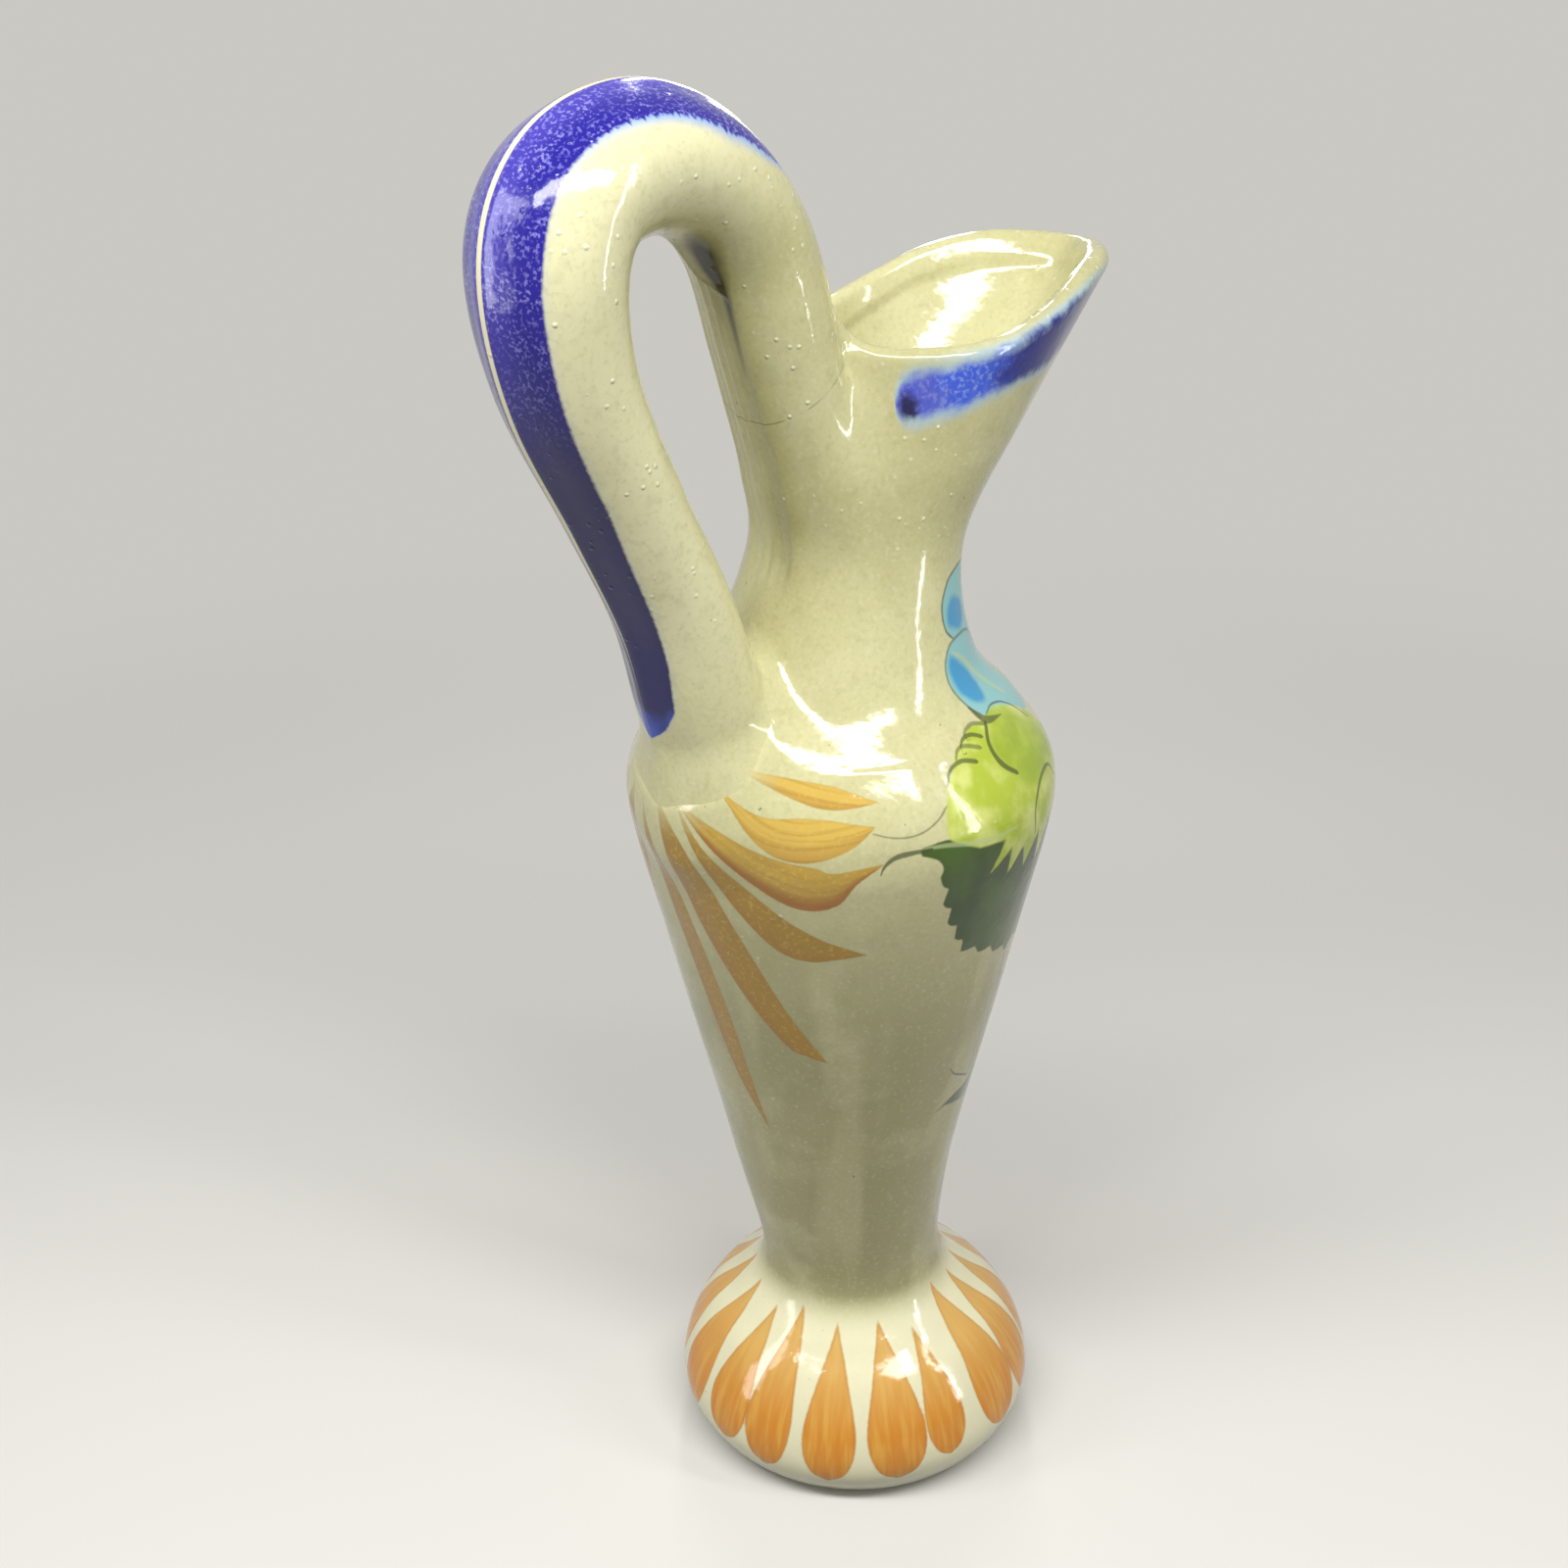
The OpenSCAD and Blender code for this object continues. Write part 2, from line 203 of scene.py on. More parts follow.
# Half of the rim from the handle to the tip: share of the reach, of the width, of the rise, and column
rim_share = np.array([[0.11, 0.69, -0.02, 101], [0.25, 0.91, -0.05, 84], [0.39, 1, 0.06, 68],
                      [0.55, 0.97, 0.42, 52], [0.70, 0.85, 0.82, 38], [0.84, 0.65, 1, 25],
                      [0.95, 0.34, 0.96, 12], [1, 0, 0.88, 0]])
rim_points = np.stack([mix(corner[0], SPOUT_REACH, rim_share[:, 0]), MOUTH_HALF * rim_share[:, 1],
                       RIM_Z + SPOUT_RISE * rim_share[:, 2], rim_share[:, 3]], 1)
rim_points = np.concatenate([[[*corner, CORNER_COLUMN]], rim_points])
rim_line = smooth_curve(rim_points, CURVE_STEPS, after=rim_points[-2] * [1, -1, 1, -1])[::-1]
rim = np.stack([np.interp(side, rim_line[:, 3], rim_line[:, k]) for k in range(3)], 1)
hand = np.where(column < 0, -1.0, 1.0)


def sided(points):
    """Points that take the side of their column: y gets the column's sign."""
    return np.stack([points[:, 0], np.abs(points[:, 1]) * hand, points[:, 2]], 1)


edge = sided(np.where((side < CORNER_COLUMN)[:, None], rim, loop_point(back_stop, back_angle)))
print("corner of the mouth:", corner, "tip of the spout:", edge[180])

# %% Columns of the neck
NECK_STEPS = 26


def level_ring(r, z, lean=0.0):
    """A level circle round the axis, or round a point that leans towards the spout."""
    return np.stack([lean + r * np.cos(turn), r * np.sin(turn), np.full(COLUMNS, z)], 1)


def carried_round(line):
    """A line of radius and height carried round the axis."""
    r, z = line[:, :1], line[:, 1:]
    return np.stack([r * np.cos(turn), r * np.sin(turn), np.repeat(z, COLUMNS, 1)], -1)


waist = level_ring(WAIST_R, WAIST_Z, WAIST_LEAN)
outward = np.interp(side, [30, 90, 150], [0.5, 0.45, 0.3])[:, None]
middle = mix(waist, edge, outward * [1, 1, 0] + [0, 0, 0.5])
further = sided(loop_point(back_stop - 0.7, back_angle))
beyond = mix(2 * edge - middle, further, share(side, 110, 124)[:, None])
neck_rows = smooth_curve([level_ring(*outline[-1]), level_ring(NECK_R, NECK_JOINT), waist, middle, edge],
                         NECK_STEPS, before=level_ring(*outline[-2]), after=beyond)
print("columns of the neck:", neck_rows.shape)


# %% The whole outside
def soften_round(grid, spread):
    """Every row averaged with its neighbours round the vessel, by bell-shaped weights."""
    offsets = np.arange(-3 * spread, 3 * spread + 1)
    weights = np.exp(-0.5 * (offsets / spread) ** 2)
    return sum(w * np.roll(grid, k, 1) for w, k in zip(weights / weights.sum(), offsets))


# Below the corners of the mouth the wall passes from limb to spout without a crease
near_corner = bell(side - CORNER_COLUMN, 18)
rows_down = np.arange(len(neck_rows))[::-1, None] / NECK_STEPS
neck_rows = mix(neck_rows, soften_round(neck_rows, 7), (near_corner * share(rows_down, 0, 0.4))[..., None])
vessel = np.concatenate([carried_round(profile), neck_rows[1:]])
foot_row = int(np.abs(profile[:, 1] - FOOT_JOINT).argmin())
neck_row = len(profile) - 1 + NECK_STEPS
print("vessel grid:", vessel.shape, "joints at rows", foot_row, neck_row)

# %% [markdown]
# ## Normals of a grid
# Fillets, wall thickness and shading all need the direction that a surface faces. On a grid it is
# the cross product of the step round and the step up, and one formula serves every piece.

# %% Directions of a grid
def facing(grid):
    """Unit normals: step round x step up. The steps down and up are weighed by each other's length."""
    round_step = np.roll(grid, -1, 1) - np.roll(grid, 1, 1)
    step = np.diff(grid, axis=0)
    long = np.maximum(np.linalg.norm(step, axis=-1, keepdims=True), 1e-6)
    between = step[1:] * long[:-1] / long[1:] + step[:-1] * long[1:] / long[:-1]
    return unit(np.cross(round_step, np.concatenate([step[:1], between, step[-1:]])))


vessel_facing = facing(vessel)
row_steps = np.linalg.norm(np.diff(vessel, axis=0), axis=-1)
column_run = np.concatenate([np.zeros((1, COLUMNS)), np.cumsum(row_steps, 0)])
below_rim = column_run[-1] - column_run
print("height of a column from table to rim:", column_run[-1].min(), "to", column_run[-1].max())

# %% [markdown]
# ## The inside of the vessel
# The wall is about five millimetres thick and thins to a rounded lip with a small step inside it,
# where the potter's finger ran round. The inside is the outside moved in along the normals. Behind
# the mouth there is no outside to follow, because the handle stands there, so the inside is a smooth
# ramp from the front of the handle's limb down to the waist.

# %% Inner wall
WALL, LIP, LIP_STEP = 5.0, 4.6, 0.8
FRONT_ANGLE = 34.0
under_lip, down_wall = share(below_rim, 3.5, 6.5), share(below_rim, 12, 45)
wall = mix(LIP, LIP - LIP_STEP, under_lip) + (WALL - LIP + LIP_STEP) * down_wall
inner = vessel - vessel_facing * wall[..., None]
aside = np.clip((180 - side) / (180 - CORNER_COLUMN), 0, 1)
front = sided(loop_point(mix(11.35, 11.15, aside), FRONT_ANGLE * aside))
front_up = sided(loop_point(mix(10.9, 10.7, aside), FRONT_ANGLE * aside))
inner_waist = level_ring(WAIST_R - WALL, WAIST_Z, WAIST_LEAN)
inner_middle = mix(inner_waist, front, np.array([0.42, 0.5, 0.5]))
back_slope = smooth_curve([inner[neck_row], inner_waist, inner_middle, front], NECK_STEPS,
                          before=inner[neck_row - NECK_STEPS], after=front_up)
inner[neck_row:] = mix(inner[neck_row:], back_slope, share(side, 106, 124)[:, None])
print("wall from", wall.min(), "to", wall.max())

# %% Rounded lip
LIP_ROWS = 14
half_turn = np.linspace(0, np.pi, LIP_ROWS + 2)[1:-1, None, None]
lip_out, lip_in = vessel[-1], inner[-1]
lip_half = (lip_out - lip_in) / 2
# Behind the corners there is no lip, so its height fades out there
lip_end = share(side, 117, 121)[:, None]
lip_up = unit(vessel[-1] - vessel[-2]) * np.linalg.norm(lip_half, axis=1, keepdims=True) * (1 - lip_end)
lip = (lip_out + lip_in) / 2 + lip_half * np.cos(half_turn) + lip_up * np.sin(half_turn)
print("lip: highest point", lip[..., 2].max(), "furthest", lip[..., 0].max())

# %% [markdown]
# ## The skin of the handle
# Each line along the loop starts inside the body's wall and ends inside the neck, so that both ends
# are buried in clay. Where it starts is found by halving, as the joint was.

# %% Grid of the handle
HANDLE_COLUMNS, HANDLE_ROWS = 160, 360
handle_angle = np.arange(HANDLE_COLUMNS) * 360.0 / HANDLE_COLUMNS - 180
HANDLE_SINK, PAST_JOINT, MOUTH_STOP = 3.5, 0.3, 11.75
JOINT_SINK_FIRST, JOINT_SINK_LATER = 0.15, 1.4


def depth_in_body(p):
    """Distance of a point out from the turned wall, level with it."""
    r = np.interp(p[..., 2], vessel[:neck_row, 180, 2], vessel[:neck_row, 180, 0])
    return np.hypot(p[..., 0], p[..., 1]) - r


root_stop = halved(np.zeros(HANDLE_COLUMNS), np.full(HANDLE_COLUMNS, 3.6),
                   lambda s: depth_in_body(loop_point(s, handle_angle)) > -HANDLE_SINK)
handle_joint = joint_stop(handle_angle)
in_front = share(-np.abs(handle_angle), -CORNER_ANGLE, -38)
mouth_stop = mix(handle_joint + PAST_JOINT, MOUTH_STOP, in_front)
handle_s = mix(root_stop, mouth_stop, np.linspace(0, 1, HANDLE_ROWS)[:, None])
handle = loop_point(handle_s, handle_angle[None])
handle_facing = -facing(handle)
past_joint = (handle_s - handle_joint) * (1 - in_front)
joint_sink = (JOINT_SINK_FIRST * share(past_joint, 0, 0.03)
              + JOINT_SINK_LATER * share(past_joint, 0.03, PAST_JOINT))
print("handle grid:", handle.shape, "root from s", root_stop.min(), "to", root_stop.max())

# %% [markdown]
# ## Fillets where two pieces of clay meet
# A handle is luted on with slip and the joint is smoothed with a wet finger. A boolean and a bevel
# would give a hard, even edge. Here each point is lifted along its normal until the soft minimum of
# its lift and its gap to the other surface is nought. Both surfaces then meet on the same soft curve,
# and past the crease each one sinks out of sight under the other.

# %% Lift towards a neighbour
CLOUD_SPACING, SINK_FIRST, SINK_LATER = 1.6, 0.3, 1.5


def clay_distance(points, cloud, cloud_facing):
    """Distance to another surface: to its tangent plane at the nearest point, or to that point past its end."""
    centre = cloud.mean(0)
    p, c = (points - centre).astype(np.float32), (cloud - centre).astype(np.float32)
    nearest = ((c * c).sum(1)[None] - 2 * p @ c.T).argmin(1)
    step = points - cloud[nearest]
    plane = (step * cloud_facing[nearest]).sum(1)
    straight = np.sqrt(np.maximum((step * step).sum(1) - CLOUD_SPACING**2, 0))
    return np.where(plane > 0, np.maximum(plane, straight), plane)


def calmed(values, weight=0.6, rounds=4):
    """Values on a grid, averaged with their four neighbours a few times."""
    for _ in range(rounds):
        near = np.roll(values, 1, 1) + np.roll(values, -1, 1) + np.roll(values, 1, 0) + np.roll(values, -1, 0)
        values = mix(values, near / 4, weight)
    return values


def fillet(grid, grid_facing, chosen, cloud, cloud_facing, reach, weight=1.0, early=0.0):
    """Lifts chosen points along their normals until the soft minimum of lift and gap is nought, found by halving.
    Soft minimum: the lesser of the two, less (reach - their difference) squared over four times the reach.
    Returns how far each point sinks out of sight past the crease, or a share of the reach before it."""
    cloud, cloud_facing = cloud.reshape(-1, 3), cloud_facing.reshape(-1, 3)
    reach = np.where(chosen, reach, 1.0)
    close = chosen.copy()
    close[chosen] = np.abs(clay_distance(grid[chosen], cloud, cloud_facing)) < reach[chosen] + 1
    points, normals, reach = grid[close], grid_facing[close], reach[close]
    first = clay_distance(points, cloud, cloud_facing)
    low, high = np.zeros(len(points)), reach.copy()
    for _ in range(9):
        lift = (low + high) / 2
        gap = clay_distance(points + normals * lift[:, None], cloud, cloud_facing)
        soft = np.minimum(lift, gap) - np.maximum(reach - np.abs(lift - gap), 0) ** 2 / (4 * reach)
        low, high = np.where(soft < 0, lift, low), np.where(soft < 0, high, lift)
    past = (low - gap) / reach + early
    sink, lift = np.zeros(chosen.shape), np.zeros(chosen.shape)
    sink[close] = SINK_FIRST * share(past, 0, 0.1) + SINK_LATER * share(past, 0.1, 0.6)
    lift[close] = low
    lift = calmed(lift)[close] * (1 - share(-first, 0, 3)) * np.broadcast_to(weight, chosen.shape)[close]
    grid[close] = points + normals * lift[:, None]
    print("lifted", len(points), "points by up to", lift.max())
    return calmed(sink)[..., None] * grid_facing


print("past a crease, a surface sinks by up to", SINK_FIRST + SINK_LATER, "mm")


# %% Root of the handle on the shoulder
ROOT_END, WIDE_REACH, NARROW_REACH = 4.4, 14.0, 5.0


def root_reach(height):
    """Reach of the fillet: a finger could press wide below the handle, but not in the narrow crotch above it."""
    return mix(WIDE_REACH, NARROW_REACH, share(height, 170, 192))


x, y, z = np.moveaxis(vessel, -1, 0)
near_root = (x < -8) & (np.abs(y) < 36) & (z > 138) & (z < 216)
root_part = handle_s < ROOT_END
plain_vessel, plain_handle = vessel.copy(), handle.copy()
root_rows = slice(0, int(root_part.any(1).sum()), 2)
vessel_sink = fillet(vessel, vessel_facing, near_root, plain_handle[root_rows, ::2],
                     handle_facing[root_rows, ::2], root_reach(z), early=-0.05)
back_columns = np.r_[0:90:2, 270:360:2]
back_rows = np.arange(int(near_root.any(1).argmax()), neck_row + 2 * NECK_STEPS, 2)[:, None]
handle_sink = fillet(handle, handle_facing, root_part, plain_vessel[back_rows, back_columns],
                     vessel_facing[back_rows, back_columns], root_reach(handle[..., 2]), early=0.07)

# %% Corners between the lip and the handle
OUTER_ROWS, INNER_ROWS = 3, 15
LIP_REACH, LIMB_START = 6.0, 9.8
inner_top = slice(None, -INNER_ROWS - 1, -1)
mouth_rows = np.concatenate([vessel[-OUTER_ROWS:], lip, inner[inner_top]])
mouth_facing = facing(mouth_rows)
front_rows = slice(int((handle_s.min(1) > LIMB_START).argmax()), None, 2)
front_columns = np.abs(handle_angle) < 90
# The outside of the lip stays as it is, and near its ends more of it does
kept_rows = 5 * share(side, 108, 116)
row_weight = share(np.arange(len(mouth_rows))[:, None], kept_rows, kept_rows + 7)
plain_mouth = mouth_rows.copy()
chosen = (mouth_rows[..., 0] < 14) & (side < 121)
mouth_sink = fillet(mouth_rows, mouth_facing, chosen, plain_handle[front_rows][:, front_columns],
                    handle_facing[front_rows][:, front_columns], LIP_REACH, row_weight)
facing_mouth = (np.abs(handle_angle) < 58) & (handle_s > LIMB_START)
lip_columns = side < 119
handle_sink += fillet(handle, handle_facing, facing_mouth, plain_mouth[2:, lip_columns][::2],
                      mouth_facing[2:, lip_columns][::2], LIP_REACH, 1 - share(np.abs(handle_angle), 44, 58)[None])
mouth_rows -= mouth_sink * row_weight[..., None]
lip, inner[inner_top] = np.split(mouth_rows[OUTER_ROWS:], [LIP_ROWS])

# %% Ends of the lip
# The two ends of the lip settle into the skin of the limb, a little below it
END_ROWS, END_DEPTH, END_MOST = 12, 0.08, 1.2
at_lip_end = share(side, 115, 119) * (1 - share(side, 124, 130))
limb_sides = (handle_s > LIMB_START) & (np.abs(handle_angle) > 30) & (np.abs(handle_angle) < 100)
proud = clay_distance(vessel[-1], handle[limb_sides], handle_facing[limb_sides])
proud = vessel_facing[-1] * (np.clip(proud + END_DEPTH, 0, END_MOST) * at_lip_end)[:, None]
vessel[-END_ROWS:] -= proud * share(np.arange(END_ROWS), 0, END_ROWS - 1)[:, None, None]
lip = lip - proud
print("lip ends lowered by up to", np.linalg.norm(proud, axis=1).max())

# %% [markdown]
# ## Marks of the hand
# A thrown pot is never quite true: its foot sits a little off the axis and its walls breathe by a
# fraction of a millimetre. Where the handle joins the neck, the potter pared the seam flat with a
# knife, which left narrow facets down the inside of the loop. Molten glaze then ran into the corner
# beside the cut and stayed there as a dark pool, which the colour makes darker still as painted shade
# in that crook. These are small moves of the grids.

# %% The knife's cut
CUT_MIDDLE = 2.0


def pared(across, along):
    """Depth of the knife's cut: a flat of 6 mm to either side, with facets of 3 mm, faded along its length."""
    flat = 1 - share(np.abs(across), 4.5, 7.0)
    return flat * along * (0.75 + 0.12 * np.cos(across * 2 * np.pi / 3.1))


handle_y = plain_handle[..., 1]
inside_loop = share(np.abs(handle_angle), 110, 130)
# It came in beside the middle and turned across: first a line along the loop, then one across it
cut_side = np.interp(handle_s, [8.6, 9.1, 9.5, 9.8, 10.0], [-2.0, 0.1, 1.2, 1.3, 0.6])
cut_start = np.interp(handle_y, [-7.0, -3.1, -1.7, 0.4, 1.4], [10.4, 10.16, 10.12, 9.98, 9.8])
beside_cut = share(handle_y - cut_side, 0.3, 1.6) * share(handle_s, 8.9, 9.7)
past_cut = share(handle_s - cut_start, 0.02, 0.16)
on_limb = pared(handle_y - CUT_MIDDLE, np.maximum(beside_cut, past_cut) * inside_loop)
on_back = pared(vessel[..., 1] - CUT_MIDDLE, share(vessel[..., 2], 196, 206) * (side > 150))
print("knife cut at most", on_back.max(), "mm deep")

# %% Edge and pool of the glaze, the pool partly painted shade
GLAZE_EDGE = 0.35
along_cut = share(handle_s, 8.5, 9.0) * (handle_s < 9.95)
across_cut = share(handle_y, -4.8, -3.2) * (handle_y < 1.4)
glaze_edge = np.maximum(bell(handle_y - cut_side, 0.6) * along_cut,
                        bell(handle_s - cut_start, 0.045) * across_cut)
glaze_edge = GLAZE_EDGE * glaze_edge * inside_loop
# The dark pool in the crook of the loop is also painted shade, where that recess lies in shadow
pool_shade_middle = np.interp(handle_s, [8.6, 9.2, 9.55, 9.8, 10.2, 10.5, 11.2],
                        [-7.0, -4.5, -3.9, -3.3, -3.8, -3.4, -3.0])
pool_shade_width = np.interp(handle_s, [8.6, 9.2, 9.7, 10.2, 10.6, 11.2], [2.0, 3.2, 2.6, 1.2, 0.9, 0.6])
pool_shade_depth = np.interp(handle_s, [8.5, 9.0, 9.5, 10.0, 10.6, 11.3], [0.0, 0.5, 1.0, 1.0, 0.6, 0.0])
pool_and_shade = pool_shade_depth * bell(handle_y - pool_shade_middle, pool_shade_width) * inside_loop
print("pool of glaze on", int((pool_and_shade > 0.5).sum()), "points")

# %% Cut, sunk and shifted
NORMAL_ROUNDS = 8
FOOT_SHIFT, WAVES_OF_TWO, WAVES_OF_THREE = np.array([1.9, -1.6]), 0.004, 0.002
cut = facing(vessel) * on_back[..., None]
vessel, lip = vessel - cut, lip - cut[-1]
handle = handle - facing(handle) * (glaze_edge - on_limb)[..., None]
# Normals are taken before the hidden parts sink, and calmed where a crease would make them flicker
root_zone = (np.linalg.norm(vessel_sink, axis=-1) > 0) * share(vessel[..., 2], 150, 165)
handle_zone = (np.linalg.norm(handle_sink, axis=-1) > 0) * share(-handle_s, -4.2, -3.2)
whole_facing = unit(calmed(facing(vessel), root_zone[..., None], NORMAL_ROUNDS))
handle_skin_facing = unit(calmed(-facing(handle), handle_zone[..., None], NORMAL_ROUNDS))
vessel, handle = vessel - vessel_sink, handle - handle_sink - handle_facing * joint_sink[..., None]


def settle(rows):
    """Moves the foot off the axis, less and less up the stem, and lets the wall breathe in two and three waves."""
    z, angle = rows[..., 2], np.arctan2(rows[..., 1], rows[..., 0])
    breath = WAVES_OF_TWO * np.sin(2 * angle + z / 38 + 0.9) + WAVES_OF_THREE * np.sin(3 * angle - z / 27)
    breath = 1 + breath * share(z, 2, 20) * (1 - share(z, 120, 150))
    moved = rows.copy()
    moved[..., :2] = rows[..., :2] * breath[..., None] + FOOT_SHIFT * (1 - share(z, 25, 75))[..., None]
    return moved


print("hidden by", np.linalg.norm(handle_sink, axis=-1).max(), "mm at most")

# %% [markdown]
# ## Brushwork on the body
# The decorator loaded a soft brush with ochre and pulled each leaf in one stroke: thin where it
# starts, full in the belly, pointed where the brush lifts. An image texture would fix its sharpness.
# Instead every vertex keeps its offset from the stroke's middle line, half the stroke's width there
# and the way along it, and the material makes a crisp edge and brush marks of them. Strokes that lie
# close together go to different layers, so that no vertex has to serve two of them.

# %% Points of the pot at an angle and a height
FAR, REACH = -9.0, 1.2
pot = plain_vessel
pot_points = pot.reshape(-1, 3)
pot_angle = np.broadcast_to(column, pot.shape[:2]).reshape(-1)


def at_height(columns, z):
    """Points of the pot on the given columns, between the two rows next to each height."""
    low = np.clip((pot[:, columns, 2] < z).sum(0) - 1, 0, len(pot) - 2)
    below, above = pot[low, columns], pot[low + 1, columns]
    return mix(below, above, ((z - below[:, 2]) / (above[:, 2] - below[:, 2]))[:, None])


def on_pot(line):
    """Skin of the pot at pairs of column angle and height, between the two columns next to that angle."""
    first = np.floor(line[:, 0]).astype(int) + 180
    part = (line[:, 0] - np.floor(line[:, 0]))[:, None]
    return mix(at_height(first % COLUMNS, line[:, 1]), at_height((first + 1) % COLUMNS, line[:, 1]), part)


def reflected(points, about):
    """Mirror image in the upright plane through the axis at an angle: x and y turned over that plane."""
    c, s = np.cos(np.radians(2 * about)), np.sin(np.radians(2 * about))
    return points @ np.array([[c, s, 0], [s, -c, 0], [0, 0, 1]])


def close_to(points, line, margin=9.0):
    """Numbers of the points in the box of a line, with a margin."""
    return np.flatnonzero(((points > line.min(0) - margin) & (points < line.max(0) + margin)).all(1))


def nearest_on(points, line):
    """For each point the nearest piece of a line, the share along it, and the step from there to the point."""
    run = np.diff(line, axis=0)
    step = points[:, None] - line[:-1]
    along = np.clip((step * run).sum(-1) / np.maximum((run * run).sum(-1), 1e-12), 0, 1)
    gap = step - along[..., None] * run
    row, piece = np.arange(len(points)), (gap * gap).sum(-1).argmin(1)
    return piece, along[row, piece], gap[row, piece]


print("painting on", len(pot_points), "points")

# %% One stroke of a brush
def blank():
    """A layer with no stroke yet: the half width is far below nought."""
    offset, along = np.zeros((2, len(pot_points)))
    return {"offset": offset, "half": np.full(len(pot_points), FAR), "along": along}


def stroke(layer, middle, half, left, about=None, start=0.0):
    """Keeps a stroke at the points within reach: signed distance to its middle, half its width, way along it.
    Past an end, the half width falls below nought by the distance past it."""
    run = np.diff(middle, axis=0)
    length = np.maximum(np.linalg.norm(run, axis=1), 1e-6)
    way = np.concatenate([[0], np.cumsum(length)])
    for points in [pot_points] if about is None else [pot_points, reflected(pot_points, about)]:
        chosen = close_to(points, middle)
        piece, t, gap = nearest_on(points[chosen], middle)
        at_end = ((piece == 0) & (t == 0)) | ((piece == len(run) - 1) & (t == 1))
        past = np.where(at_end, np.abs((gap * run[piece]).sum(1)) / length[piece], 0)
        here = mix(half[piece], half[piece + 1], t) - past
        aside = np.sqrt(np.maximum((gap**2).sum(1) - past**2, 0))
        better = here - aside > np.maximum(-REACH, layer["half"][chosen] - np.abs(layer["offset"][chosen]))
        to_left = (gap * mix(left[piece], left[piece + 1], t[:, None])).sum(1) >= 0
        put = chosen[better]
        layer["offset"][put] = np.where(to_left, aside, -aside)[better]
        layer["half"][put] = here[better]
        layer["along"][put] = (start + mix(way[piece], way[piece + 1], t))[better]


print("a stroke is kept up to", REACH, "mm beside its edge")

# %% The ochre leaves
# Each leaf from its base to its tip: its lower edge, then its upper edge, as angle and height
LEAVES = [
    ([(-159, 171.3), (-148, 169.4), (-137, 167.8), (-129, 167.9), (-121.5, 168.6)],
     [(-159, 171.3), (-149, 171.7), (-134, 171.1), (-121.5, 168.6)]),
    ([(-174.5, 171), (-162.5, 167.6), (-152.5, 161.6), (-146, 159), (-139, 158.9), (-130, 161.3), (-123, 165)],
     [(-174.5, 171), (-164, 168.4), (-152, 166.1), (-136.5, 166.3), (-123, 165)]),
    ([(-174.6, 165), (-165, 159.4), (-154, 153), (-143, 148.8), (-134.5, 149.4), (-129, 154.2), (-121.4, 158.4)],
     [(-174.6, 165), (-161, 162.2), (-148.5, 159.3), (-134, 157.5), (-121.4, 158.4)]),
    ([(-175, 165), (-169.6, 157.6), (-162, 147.7), (-150.6, 138.5), (-142, 136.3), (-134, 137), (-125, 138)],
     [(-175, 165), (-166.6, 158.4), (-154, 150.3), (-142, 143.7), (-125, 138)]),
    ([(-181, 164.6), (-179, 154), (-175, 140), (-165, 125.5), (-151.6, 114), (-145, 111.8), (-137, 110.2)],
     [(-181, 164.6), (-172, 156.5), (-162, 140.7), (-150, 123.3), (-137, 110.2)]),
    ([(-188.8, 163.2), (-188.6, 148.5), (-186, 131.6), (-181, 113.7), (-175, 99.8), (-164.6, 88)],
     [(-188.8, 163.2), (-182.6, 149), (-177.6, 134), (-172, 116), (-168, 99), (-164.6, 88)])]
FAN_MIDDLE = -187.5
# The way along a leaf starts from a hundred of its own, so that the material can tell the leaves apart
LEAF_START = 100.0
leaf_a, leaf_b = blank(), blank()
STROKE_STEPS, LINE_STEPS, MIRRORED = 56, 12, 5
for number, edges in enumerate(LEAVES):
    low, high = (evenly(on_pot(smooth_curve(edge_line, LINE_STEPS)), STROKE_STEPS) for edge_line in edges)
    middle, across = (low + high) / 2, high - low
    run = unit(np.gradient(middle, axis=0))
    half = np.linalg.norm(across - (across * run).sum(1, keepdims=True) * run, axis=1) / 2
    # Both edges meet in the ends, so the direction across is taken a little before them
    left = across[np.clip(np.arange(STROKE_STEPS), 4, STROKE_STEPS - 5)]
    about = FAN_MIDDLE if number < MIRRORED else None
    stroke((leaf_a, leaf_b)[number % 2], middle, half, left, about, LEAF_START * number)
print("leaf points:", [int((layer["half"] > np.abs(layer["offset"])).sum()) for layer in (leaf_a, leaf_b)])

# %% [markdown]
# ## The flower spray in front
# Round the shoulder in front runs a spray in the old manner of painted earthenware: pale blue
# petals on the neck, a yellow-green bloom, a toothed leaf and thin dark lines from a liner brush.
# Filled shapes keep the distance to their outline, positive inside. Lines are thin strokes in three
# layers. The other side of the pot has the mirror image.

# %% Filled shapes of the spray
def filled(outline, edges):
    """Distance to a closed outline, positive where a ray to one side crosses it an odd number of times."""
    ring = np.concatenate([outline, outline[:1]])
    line = on_pot(ring)
    for points, angle in ((pot_points, pot_angle), (reflected(pot_points, 0), -pot_angle)):
        chosen = close_to(points, line)
        distance = np.minimum(np.linalg.norm(nearest_on(points[chosen], line)[2], axis=1), -FAR)
        a, z = angle[chosen], points[chosen, 2]
        (a0, z0), (a1, z1) = ring[:-1].T[:, :, None], ring[1:].T[:, :, None]
        rise = np.where(np.abs(z1 - z0) < 1e-9, 1e-9, z1 - z0)
        crossed = ((z0 > z) != (z1 > z)) & (a < a0 + (a1 - a0) * (z - z0) / rise)
        edges[chosen] = np.maximum(edges[chosen], np.where(crossed.sum(0) % 2 == 1, distance, -distance))


def soft_ring(points):
    """A closed smooth outline through a few points."""
    points = np.array(points, float)
    closed = np.concatenate([points, points[:1]])
    return smooth_curve(closed, RING_STEPS, before=points[-1], after=points[1])[:-1]


